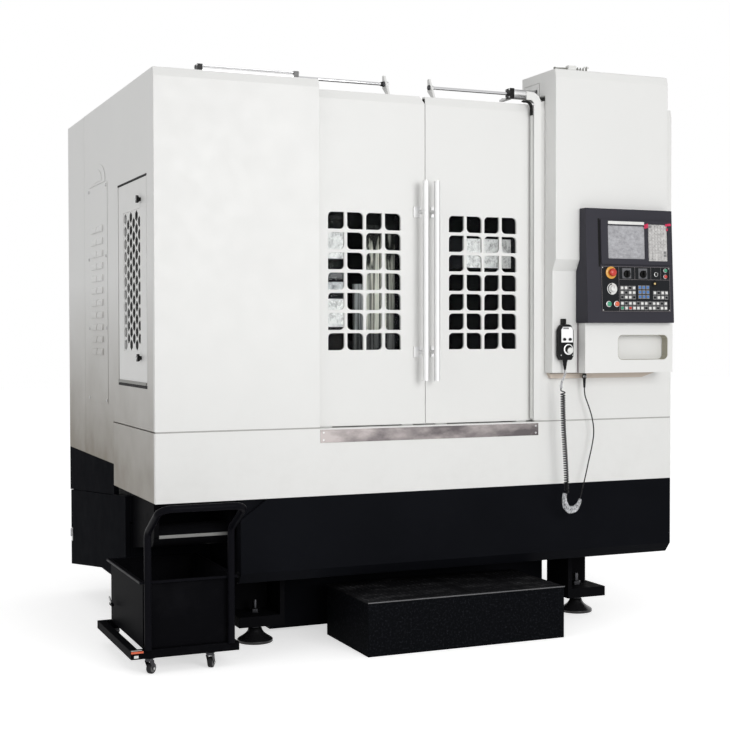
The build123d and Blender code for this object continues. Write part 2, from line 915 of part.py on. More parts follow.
def hand_pendant():
    """Hand-held control with its dial and the taper that the cord leaves."""
    front = pendant_back - pendant_depth
    body = block(pendant_x - pendant_width / 2, pendant_x + pendant_width / 2, front, pendant_back,
                 pendant_bottom, pendant_top)
    body = fillet(body.edges().filter_by(Axis.Y), pendant_edge_radius)
    body += rod_between((pendant_x, front, pendant_dial_z), (pendant_x, front - pendant_dial_height, pendant_dial_z),
                        pendant_dial_diameter)
    body += cone_between((pendant_x, pendant_mid_y, pendant_bottom),
                         (pendant_x, pendant_mid_y, pendant_bottom - relief_length),
                         relief_top_diameter, cord_diameter + 2 * relief_wall)
    return body


def cord_gland():
    """Gland under the tower, with its tapered tail."""
    top = tower_bottom
    middle = top - gland_length
    gland = rod_between((gland_x, gland_y, top), (gland_x, gland_y, middle), gland_diameter)
    gland += cone_between((gland_x, gland_y, middle), (gland_x, gland_y, middle - gland_tail_length),
                          gland_tail_diameter, cord_diameter + 2 * relief_wall)
    return gland


def cord_lead():
    """The two stretches of the cord that are not coiled."""
    return Compound([tube_along(points, cord_diameter, corner_radii(points))
                     for points in (cord_tail_points, cord_lead_points)])


def cord_coil():
    """Outer shape of the curly stretch."""
    return tube_along(cord_coil_points, coil_diameter, corner_radii(cord_coil_points))


# Base

def front_apron():
    """Black front sheet with one corner cut off and its lower lip folded back."""
    outline = [(apron_left, apron_fold), (housing_width, apron_fold), (housing_width, deck_bottom),
               (apron_left + apron_corner_width, deck_bottom),
               (apron_left, deck_bottom - apron_corner_height)]
    apron = prism_y(outline, 0, apron_thickness)
    lip = prism_x([(0, apron_fold), (apron_thickness, apron_fold),
                   (apron_fold_back + apron_thickness, apron_bottom), (apron_fold_back, apron_bottom)],
                  apron_left, housing_width)
    return apron + lip


def bed():
    """Cast bed between the housing and its legs."""
    front = apron_fold_back + apron_thickness
    body = block(bed_left, bed_right, bed_front, bed_back, bed_bottom, deck_bottom)
    ribs = block(apron_left, housing_width, apron_thickness, front, apron_fold, deck_bottom)
    return body + ribs


def foot_places():
    return [(x, y) for x in (foot_left_x, housing_width - foot_from_right)
            for y in (leg_front + leg_depth / 2, housing_depth - leg_from_back - leg_depth / 2)]


def bed_legs():
    """Four cast legs, each a flange with a web above it, open to the outside."""
    legs = []
    for x, y in foot_places():
        x0, x1 = x - leg_width / 2, x + leg_width / 2
        y0, y1 = y - leg_depth / 2, y + leg_depth / 2
        leg = block(x0, x1, y0, y1, leg_bottom - flange_thickness, leg_bottom)
        inner = x1 - leg_wall if x < (bed_left + bed_right) / 2 else x0
        leg += block(inner, inner + leg_wall, y0, y1, leg_bottom, bed_bottom)
        back = y1 - leg_wall if y < (bed_front + bed_back) / 2 else y0
        leg += block(x0, x1, back, back + leg_wall, leg_bottom, bed_bottom)
        leg -= rod_between((x, y, leg_bottom - flange_thickness), (x, y, leg_bottom), foot_stud_diameter)
        legs.append(leg)
    return Compound(legs)


def levelling_feet():
    """Round pads with studs through the leg flanges."""
    feet = []
    flange_bottom = leg_bottom - flange_thickness
    for x, y in foot_places():
        foot = rod_between((x, y, 0), (x, y, foot_rim_height), foot_pad_diameter)
        foot += cone_between((x, y, foot_rim_height), (x, y, foot_pad_height), foot_cone_diameter,
                             foot_neck_diameter)
        foot += rod_between((x, y, foot_pad_height), (x, y, leg_bottom + foot_stud_above), foot_stud_diameter)
        foot += rod_between((x, y, flange_bottom - foot_nut_height), (x, y, flange_bottom), foot_nut_diameter)
        foot += rod_between((x, y, leg_bottom), (x, y, leg_bottom + foot_nut_height), foot_nut_diameter)
        feet.append(foot)
    return Compound(feet)


def coolant_tank():
    return block(tank_left, housing_width - tank_from_right, tank_front, housing_depth - tank_from_back,
                 tank_bottom, bed_bottom)


def side_plate():
    """Black sheet below the raised rear part of the left wall."""
    outline = [(rear_step_start, side_plate_bottom_front), (housing_depth, side_plate_bottom_back),
               (housing_depth, rear_step_height), (rear_step_start, rear_step_height)]
    return prism_x(outline, 0, sheet)


def side_plate_edge(y):
    """Height of the side plate's sloping lower edge."""
    share = (y - rear_step_start) / (housing_depth - rear_step_start)
    return side_plate_bottom_front + share * (side_plate_bottom_back - side_plate_bottom_front)


def side_tank():
    """Tank beside the bed, its top and bottom both sloping."""
    outline = [(side_tank_front, side_plate_edge(side_tank_front)),
               (side_tank_back, side_plate_edge(side_tank_back)),
               (side_tank_back, side_tank_low_back), (side_tank_low_start, side_tank_low_front),
               (side_tank_front, side_tank_low_front)]
    tank = prism_x(outline, sheet, side_tank_right)
    left = sheet + side_tank_ledge
    return tank - block(sheet, left, side_tank_front, side_tank_back, 0,
                        side_plate_edge(side_tank_back) - side_tank_ledge)


def chip_chute():
    """Chute over the cart, with the discharge drum in its mouth."""
    back = side_tank_front
    roof = prism_x([(chute_front, chute_top), (back, chute_top), (back, deck_bottom), (chute_front, deck_bottom)],
                   chute_left, chute_right)
    drum = rod_between((chute_left, drum_y, drum_z), (chute_right, drum_y, drum_z), drum_diameter)
    for x in (chute_left, chute_right - sheet):
        roof += prism_x([(chute_front, chute_top), (chute_front, drum_z), (drum_y, drum_z - drum_diameter / 2),
                         (back, drum_z - drum_diameter), (back, chute_top)], x, x + sheet)
    return roof + drum


# Step

def step_box():
    """Hollow step with an open underside."""
    top = step_height - step_tread
    box = block(step_left, step_right, step_front, step_back, 0, top)
    return box - block(step_left + step_wall, step_right - step_wall, step_front + step_wall,
                       step_back - step_wall, 0, top - step_wall)


def step_treads():
    """Chequer plates side by side on the step."""
    low, high = step_left - step_tread_overhang, step_right + step_tread_overhang
    pitch = (high - low) / step_tread_seams
    plates = []
    for index in range(step_tread_seams):
        x0 = low + index * pitch
        plates.append(block(x0 + step_seam_width / 2, x0 + pitch - step_seam_width / 2,
                            step_front - step_tread_overhang, step_back, step_height - step_tread, step_height))
    return Compound(plates)


# Chip cart

def cart_tray():
    """Open sheet bin with a folded rim."""
    tray = block(tray_left, tray_right, tray_front, tray_back, tray_bottom, tray_top)
    tray += block(tray_left - tray_rim, tray_right + tray_rim, tray_front - tray_rim, tray_back + tray_rim,
                  tray_top - tray_wall, tray_top)
    return tray - block(tray_left + tray_wall, tray_right - tray_wall, tray_front + tray_wall,
                        tray_back - tray_wall, tray_bottom + tray_wall, tray_top)


def cart_frame():
    """Rectangle of square tube under the bin."""
    frame = block(cart_frame_left, cart_frame_right, cart_frame_front, cart_frame_back,
                  cart_rail_bottom, tray_bottom)
    return frame - block(cart_frame_left + rail_size, cart_frame_right - rail_size,
                         cart_frame_front + rail_size, cart_frame_back - rail_size,
                         cart_rail_bottom, tray_bottom)


def cart_handle():
    """Push handle: up from the bin's front corners, then forward and across."""
    x0 = tray_left + cart_handle_diameter / 2
    x1 = tray_right - cart_handle_diameter / 2
    y = tray_front - tray_rim - cart_handle_diameter / 2
    bar_y = tray_front - cart_handle_reach
    points = [(x0, y, tray_bottom), (x0, y, cart_handle_bend), (x0, bar_y, cart_handle_top),
              (x1, bar_y, cart_handle_top), (x1, y, cart_handle_bend), (x1, y, tray_bottom)]
    return tube_along(points, cart_handle_diameter, cart_handle_bend_radius)


def caster_places():
    return [(x, y) for x in (caster_left_x, caster_right_x) for y in (caster_front_y, caster_back_y)]


def caster_forks():
    """Plates and forks of the four castors."""
    forks = []
    half = caster_wheel_width / 2 + caster_fork_gap
    crown = caster_wheel_diameter + caster_fork_gap
    for x, y in caster_places():
        axle_y = y + caster_trail
        fork = block(x - half - caster_fork_sheet, x + half + caster_fork_sheet, y - wheel_radius, y + wheel_radius,
                     crown, cart_rail_bottom)
        for side in (x - half - caster_fork_sheet, x + half):
            fork += block(side, side + caster_fork_sheet, axle_y - wheel_radius / 2, axle_y + wheel_radius / 2,
                          wheel_radius - caster_fork_sheet, crown)
        fork += rod_between((x - half, axle_y, wheel_radius), (x + half, axle_y, wheel_radius), caster_fork_sheet)
        forks.append(fork)
    return Compound(forks)


def caster_wheels():
    wheels = []
    half = caster_wheel_width / 2
    for x, y in caster_places():
        axle_y = y + caster_trail
        wheel = rod_between((x - half, axle_y, wheel_radius), (x + half, axle_y, wheel_radius),
                            caster_wheel_diameter)
        wheels.append(wheel - rod_between((x - half, axle_y, wheel_radius), (x + half, axle_y, wheel_radius),
                                          caster_fork_sheet))
    return Compound(wheels)

nodes = {
    "left_front_cover": left_front_cover(),
    "right_front_cover": right_front_cover(),
    "front_skirt": front_skirt(),
    "left_skirt": left_skirt(),
    "sill_strip": sill_strip(),
    "left_side_wall": left_side_wall(),
    "left_rear_wall": left_rear_wall(),
    "left_bay": left_bay(),
    "right_bay": right_bay(),
    "column_block": column_block(),
    "chamber_roof": chamber_roof(),
    "base_deck": base_deck(),
    "left_door": left_leaf(),
    "right_door": right_leaf(),
    "left_door_glass": glass_plate(left_grid_start, leaf_front + leaf_skin),
    "right_door_glass": glass_plate(right_grid_start, leaf_front + leaf_skin),
    "left_door_handle": door_handle(-1),
    "right_door_handle": door_handle(1),
    "left_door_rod": door_rod(left_rod_face, left_cylinder_end, -1),
    "right_door_rod": door_rod(right_rod_face, right_cylinder_start, 1),
    "left_cylinder": door_cylinder(left_cylinder_end, -1),
    "right_cylinder": door_cylinder(right_cylinder_start, 1),
    "service_door": service_door(),
    "service_grille": service_grille(),
    "service_knobs": service_knobs(),
    "work_table": work_table(),
    "cross_rail": cross_rail(),
    "tool_ram": tool_ram(),
    "side_boxes": side_boxes(),
    "tower_shell": tower_shell(),
    "roof_fittings": roof_fittings(),
    "tower_base_strip": tower_base_strip(),
    "console_box": console_box(),
    "control_panel": control_panel(),
    "display_screen": display_screen(),
    "keypad": keypad(),
    "button_plate": button_plate(),
    "panel_controls": panel_controls(),
    "pendant_holder": pendant_holder(),
    "hand_pendant": hand_pendant(),
    "cord_gland": cord_gland(),
    "cord_lead": cord_lead(),
    "cord_coil": cord_coil(),
    "front_apron": front_apron(),
    "bed": bed(),
    "bed_legs": bed_legs(),
    "levelling_feet": levelling_feet(),
    "coolant_tank": coolant_tank(),
    "side_plate": side_plate(),
    "side_tank": side_tank(),
    "chip_chute": chip_chute(),
    "step_box": step_box(),
    "step_treads": step_treads(),
    "cart_tray": cart_tray(),
    "cart_frame": cart_frame(),
    "cart_handle": cart_handle(),
    "caster_forks": caster_forks(),
    "caster_wheels": caster_wheels(),
}

for name, route in (("tail", cord_tail_points), ("coil", cord_coil_points), ("lead", cord_lead_points)):
    print("radii of the cord's", name, [round(radius) for radius in corner_radii(route)])

os.makedirs("parts", exist_ok=True)
for name, shape in nodes.items():
    export_step(Pos(-origin_x, -origin_y, 0) * shape, f"parts/{name}.step")
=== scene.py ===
import math
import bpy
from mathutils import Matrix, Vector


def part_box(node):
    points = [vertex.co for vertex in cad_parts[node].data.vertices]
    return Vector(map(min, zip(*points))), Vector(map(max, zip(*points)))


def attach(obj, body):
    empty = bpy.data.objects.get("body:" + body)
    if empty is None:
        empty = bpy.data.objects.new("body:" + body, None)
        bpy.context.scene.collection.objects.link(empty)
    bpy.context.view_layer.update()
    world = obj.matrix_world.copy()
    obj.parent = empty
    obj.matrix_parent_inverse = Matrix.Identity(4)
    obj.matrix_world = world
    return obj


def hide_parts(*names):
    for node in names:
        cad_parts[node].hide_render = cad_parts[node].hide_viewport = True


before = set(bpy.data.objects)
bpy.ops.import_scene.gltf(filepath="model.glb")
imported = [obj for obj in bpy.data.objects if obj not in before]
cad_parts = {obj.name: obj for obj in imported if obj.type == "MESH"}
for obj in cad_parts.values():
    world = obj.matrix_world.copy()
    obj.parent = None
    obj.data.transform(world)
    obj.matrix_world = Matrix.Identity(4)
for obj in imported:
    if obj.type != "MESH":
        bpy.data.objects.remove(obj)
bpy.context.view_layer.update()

from types import SimpleNamespace

import bmesh
import bpy
from mathutils import Euler, Matrix, Vector

# Look of the vertical lathe. Metres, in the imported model's frame.
# Places are written from the housing's left front corner on the floor, as at() takes them.

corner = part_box("left_front_cover")[0]
to_left, to_right = (-1, 0, 0), (1, 0, 0)
to_front = (0, -1, 0)
upward, downward = (0, 0, 1), (0, 0, -1)

# Distance that keeps a piece off the face it sits on
seat = 0.0003


def at(x, y, z):
    """Point given from the housing's left front corner, in the model's frame."""
    return Vector((corner.x + x, corner.y + y, z))


def span(node):
    """A node's box from the housing's left front corner."""
    low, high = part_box(node)
    return SimpleNamespace(x0=low.x - corner.x, x1=high.x - corner.x, y0=low.y - corner.y,
                           y1=high.y - corner.y, z0=low.z, z1=high.z)


def shown(name, data):
    """New object in the scene."""
    made = bpy.data.objects.new(name, data)
    bpy.context.scene.collection.objects.link(made)
    return made


# Camera, solved from the photograph

camera_place = at(-1.486, -5.910, 1.504)
camera_pitch = math.radians(-1.370)
camera_yaw = math.radians(22.968)
camera_roll = math.radians(-0.108)
camera_lens = 66.6
sensor_width = 36.0


def make_camera():
    data = bpy.data.cameras.new("camera")
    data.lens = camera_lens
    data.sensor_width = sensor_width
    camera = shown("camera", data)
    turn = Euler((math.pi / 2 + camera_pitch, 0, -camera_yaw)).to_matrix().to_4x4()
    camera.matrix_world = Matrix.Translation(camera_place) @ turn @ Matrix.Rotation(camera_roll, 4, "Z")
    bpy.context.scene.camera = camera


# Shader nodes

def add_node(tree, kind, inputs=None, **settings):
    """Shader node with its inputs linked or set."""
    made = tree.nodes.new("ShaderNode" + kind)
    for key, value in settings.items():
        setattr(made, key, value)
    for key, value in (inputs or {}).items():
        if isinstance(value, bpy.types.NodeSocket):
            tree.links.new(value, made.inputs[key])
        else:
            made.inputs[key].default_value = value
    return made


def base_material(name, color, roughness, metallic=0.0, **sockets):
    """Material with a plain shader; returns the material, its tree and the shader."""
    material = bpy.data.materials.new(name)
    material.use_nodes = True
    tree = material.node_tree
    shader = tree.nodes["Principled BSDF"]
    shader.inputs["Base Color"].default_value = (*color, 1)
    shader.inputs["Roughness"].default_value = roughness
    shader.inputs["Metallic"].default_value = metallic
    for key, value in sockets.items():
        shader.inputs[key.replace("_", " ")].default_value = value
    material.diffuse_color = (*color, 1)
    return material, tree, shader


def link(tree, shader, **values):
    """Links values to the shader's sockets."""
    for key, value in values.items():
        tree.links.new(value, shader.inputs[key.replace("_", " ")])


def place_of(tree, stretch=(1, 1, 1)):
    """Object coordinates, stretched along the axes."""
    coordinates = add_node(tree, "TexCoord")
    return add_node(tree, "Mapping", {"Vector": coordinates.outputs["Object"], "Scale": stretch}).outputs[0]


def part_of(tree, place, axis):
    """One coordinate of a place."""
    return add_node(tree, "SeparateXYZ", {"Vector": place}).outputs[axis]


def noise(tree, place, scale, detail=3.0, roughness=0.55):
    return add_node(tree, "TexNoise", {"Vector": place, "Scale": scale, "Detail": detail,
                                       "Roughness": roughness}).outputs["Fac"]


def ranged(tree, value, low, high, to_low=0.0, to_high=1.0):
    """Value moved from one range to another."""
    return add_node(tree, "MapRange", {"Value": value, "From Min": low, "From Max": high,
                                       "To Min": to_low, "To Max": to_high}).outputs["Result"]


def combined(tree, operation, first, second, clamp=False):
    """Result of a sum, a product or a maximum."""
    return add_node(tree, "Math", {0: first, 1: second}, operation=operation, use_clamp=clamp).outputs[0]


def mixed(tree, factor, first, second):
    """Colour between two, by factor."""
    made = tree.nodes.new("ShaderNodeMix")
    made.data_type = "RGBA"
    tree.links.new(factor, made.inputs["Factor"])
    for key, value in (("A", first), ("B", second)):
        socket = next(s for s in made.inputs if s.name == key and s.type == "RGBA")
        if isinstance(value, bpy.types.NodeSocket):
            tree.links.new(value, socket)
        else:
            socket.default_value = (*value, 1)
    return next(s for s in made.outputs if s.type == "RGBA")


def bumped(tree, shader, height, strength, distance):
    link(tree, shader, Normal=add_node(tree, "Bump", {"Height": height, "Strength": strength,
                                                      "Distance": distance}).outputs["Normal"])


def scaled(color, factor):
    return tuple(channel * factor for channel in color)


def toned(tree, place, color, scale, detail, low, high=1.0):
    """Colour that wanders between a darker and a lighter tone."""
    return mixed(tree, noise(tree, place, scale, detail), scaled(color, low), scaled(color, high))


def sheen(tree, place, roughness, scale, detail, spread):
    """Roughness that wanders to both sides of its value."""
    low, high = roughness * (1 - spread), roughness * (1 + spread)
    return ranged(tree, noise(tree, place, scale, detail), 0.3, 0.7, low, high)


# Materials

white_color = (0.80, 0.80, 0.785)
black_color = (0.0065, 0.007, 0.009)
# Brownish tint that darkens surfaces towards the bottom
low_tint_color = (0.2, 0.17, 0.12)
# Brownish tone of the painted shade low on the left wall
wall_shade_color = (0.22, 0.192, 0.152)


def surface(name, color, roughness, tone, gloss, grain, grime=0.0, **sockets):
    """Skin with uneven colour and gloss, fine grain, and a spotted brownish tint that darkens it towards
    the bottom.

    tone, gloss and grain begin with the scale and detail of a noise. Then come the darkest and lightest
    factor of the colour, the spread of the roughness, and the strength and depth of the grain.
    """
    material, tree, shader = base_material(name, color, roughness, **sockets)
    place = place_of(tree)
    shade = toned(tree, place, color, *tone)
    # Spotted brownish tint, stronger towards the bottom.
    if grime > 0:
        low_down = ranged(tree, part_of(tree, place, "Z"), 1.3, 0.6, 0.0, grime)
        spots = ranged(tree, noise(tree, place, 9.0, 8.0, 0.65), 0.45, 0.75)
        shade = mixed(tree, combined(tree, "MULTIPLY", low_down, spots), shade, low_tint_color)
    link(tree, shader, Base_Color=shade, Roughness=sheen(tree, place, roughness, *gloss))
    bumped(tree, shader, noise(tree, place, *grain[:2]), *grain[2:])
    return material


def paint(name, color, roughness, uneven=0.05, peel=0.12, peel_scale=260.0, **more):
    """Enamel with faint orange peel."""
    return surface(name, color, roughness, (2.3, 5.0, 1 - uneven, 1 + uneven / 2), (14.0, 4.0, 0.12),
                   (peel_scale, 2.0, peel, 0.0004), **more)


def wall_paint():
    """White enamel of the left wall, with painted shade: darker and brownish low down and to the rear."""
    material, tree, shader = base_material("wall_enamel", white_color, 0.42)
    place = place_of(tree)
    low_down = ranged(tree, part_of(tree, place, "Z"), 1.78, 0.85)
    rearward = ranged(tree, part_of(tree, place, "Y"), -0.83, 0.6, 0.80)
    uneven = ranged(tree, noise(tree, place, 3.0, 6.0, 0.6), 0.3, 0.7, 0.85, 1.08)
    # The film mask is painted shade, strongest low down and to the rear.
    film = combined(tree, "MULTIPLY", low_down, rearward)
    film = combined(tree, "MULTIPLY", film, uneven, clamp=True)
    tone = mixed(tree, film, toned(tree, place, white_color, 2.3, 5.0, 0.94), wall_shade_color)
    link(tree, shader, Base_Color=tone, Roughness=ranged(tree, film, 0.0, 1.0, 0.40, 0.6))
    bumped(tree, shader, noise(tree, place, 260.0, 2.0), 0.12, 0.0004)
    return material


def brushed(name, color, roughness, along, scale, blotch=None, blotch_scale=7.0, depth=0.25, metallic=1.0):
    """Metal brushed along one axis: along holds a small number for that axis."""
    material, tree, shader = base_material(name, color, roughness, metallic)
    lines = noise(tree, place_of(tree, along), scale)
    tone = toned(tree, place_of(tree), color, 6.0, 4.0, 0.86)
    if blotch:
        patches = noise(tree, place_of(tree, (1, 1, 2)), blotch_scale, 5.0, 0.6)
        tone = mixed(tree, ranged(tree, patches, 0.42, 0.62), tone, blotch)
    gloss = ranged(tree, lines, 0.2, 0.8, roughness * 0.75, roughness * 1.3)
    link(tree, shader, Base_Color=tone, Roughness=gloss)
    bumped(tree, shader, lines, depth, 0.0002)
    return material


def moulded(name, color, roughness, grain=0.15, grain_scale=1400.0, **more):
    """Plastic or rubber with a fine moulded grain."""
    return surface(name, color, roughness, (30.0, 4.0, 0.85, 1.12), (60.0, 3.0, 0.15),
                   (grain_scale, 2.0, grain, 0.0002), **more)


def cast(name, color, roughness, ior):
    """Casting with a sandy skin."""
    return surface(name, color, roughness, (12.0, 6.0, 0.75, 1.2), (40.0, 4.0, 0.2),
                   (340.0, 4.0, 0.5, 0.0008), IOR=ior)


def worn_black(name, color, worn, roughness, amount, scale):
    """Black paint scuffed through to a lighter tone in fine spots and smears."""
    material, tree, shader = base_material(name, color, roughness, IOR=1.03)
    place = place_of(tree)
    smear = noise(tree, place_of(tree, (1, 2.2, 1)), scale, 7.0, 0.7)
    speck = noise(tree, place, scale * 26, 3.0, 0.6)
    factor = combined(tree, "ADD", ranged(tree, smear, 0.5, 0.8, 0.0, amount),
                      ranged(tree, speck, 0.6, 0.75, 0.0, amount * 0.7), clamp=True)
    link(tree, shader, Base_Color=mixed(tree, factor, color, worn),
         Roughness=ranged(tree, factor, 0.0, 1.0, roughness, roughness * 1.35))
    bumped(tree, shader, noise(tree, place, 420.0), 0.25, 0.0006)
    return material


def speckled_black(name, color, speck_color, roughness):
    """Rough black coat with fine pale specks."""
    material, tree, shader = base_material(name, color, roughness, IOR=1.03)
    place = place_of(tree)
    speck = ranged(tree, noise(tree, place, 95.0, 5.0, 0.75), 0.52, 0.74, 0.0, 0.8)
    link(tree, shader, Base_Color=mixed(tree, speck, color, speck_color),
         Roughness=ranged(tree, speck, 0.0, 1.0, roughness, roughness * 1.3))
    bumped(tree, shader, noise(tree, place, 120.0, 5.0, 0.7), 0.6, 0.0015)
    return material


def wrapping_film():
    """Clear crumpled film: streaks of white glare on see-through plastic."""
    material, tree, shader = base_material("clear_wrap", (0.88, 0.89, 0.92), 0.16, IOR=1.35)
    place = place_of(tree, (1, 1, 0.45))
    streak = noise(tree, place, 150.0, 5.0, 0.7)
    link(tree, shader, Alpha=ranged(tree, streak, 0.42, 0.62, 0.12, 0.80))
    bumped(tree, shader, noise(tree, place, 110.0, 4.0, 0.6), 0.8, 0.004)
    return material


def turned_metal(name, color, roughness, centre):
    """Faced metal with fine rings about an upright axis."""
    material, tree, shader = base_material(name, color, roughness, 1.0)
    middle = {"Vector": add_node(tree, "TexCoord").outputs["Object"], "Location": (-centre.x, -centre.y, 0)}
    moved = add_node(tree, "Mapping", middle).outputs[0]
    rings = add_node(tree, "TexWave", {"Vector": moved, "Scale": 60.0, "Distortion": 0.6, "Detail": 2.0},
                     wave_type="RINGS", rings_direction="Z").outputs["Fac"]
    link(tree, shader, Base_Color=toned(tree, moved, color, 9.0, 5.0, 0.7),
         Roughness=ranged(tree, rings, 0.0, 1.0, roughness * 0.8, roughness * 1.2))
    bumped(tree, shader, rings, 0.2, 0.0002)
    return material


def tinted_glass(name, color):
    """Window pane with slight waviness and a film of oil."""
    material, tree, shader = base_material(name, color, 0.03, Transmission_Weight=1.0, IOR=1.08)
    smear = noise(tree, place_of(tree, (1, 1, 0.35)), 11.0, 6.0)
    link(tree, shader, Roughness=ranged(tree, smear, 0.45, 0.75, 0.02, 0.12))
    bumped(tree, shader, noise(tree, place_of(tree), 6.0, 2.0), 0.05, 0.002)
    return material


def dark_display(name, color, roughness):
    """Display that is off, under glossy film with shallow ripples."""
    material, tree, shader = base_material(name, color, roughness, Coat_Weight=0.6, Coat_Roughness=0.08)
    ripple = ranged(tree, noise(tree, place_of(tree, (1, 1, 1.4)), 46.0, 5.0, 0.65), 0.35, 0.65)
    link(tree, shader, Base_Color=mixed(tree, ripple, scaled(color, 0.8), scaled(color, 1.25)))
    bumped(tree, shader, noise(tree, place_of(tree), 60.0, 4.0), 0.5, 0.0016)
    return material


def creased_sheet(name, light, dark, painted_glow):
    """Thin sheet with wrinkled glints, as cloudy film over a cover, glowing with painted light though it is
    no lamp.
    """
    material, tree, shader = base_material(name, light, 0.6, IOR=1.1, Emission_Strength=painted_glow)
    crease = noise(tree, place_of(tree, (1, 1, 0.7)), 48.0, 8.0, 0.78)
    tone = mixed(tree, ranged(tree, crease, 0.38, 0.54), dark, light)
    link(tree, shader, Base_Color=tone, Emission_Color=tone)
    bumped(tree, shader, noise(tree, place_of(tree), 40.0, 6.0), 0.6, 0.004)
    return material


def streaked_way(name, light, dark, low):
    """Ground way: soft light streaks along its length as painted reflections, fading out at the top into
    painted shade.
    """
    material, tree, shader = base_material(name, light, 0.4, IOR=1.2)
    streak = noise(tree, place_of(tree, (1, 1, 0.03)), 62.0, 3.0, 0.6)
    wander = noise(tree, place_of(tree, (1, 1, 0.2)), 30.0)
    top = combined(tree, "ADD", part_of(tree, place_of(tree), "Z"), wander)
    # Painted shade: the streaks fade out towards the top.
    painted_top_shade = ranged(tree, top, 2.38, 2.50, 1.0, 0.0)
    factor = combined(tree, "MULTIPLY", ranged(tree, streak, low, low + 0.24), painted_top_shade)
    link(tree, shader, Base_Color=mixed(tree, factor, dark, light))
    bumped(tree, shader, streak, 0.2, 0.0006)
    return material


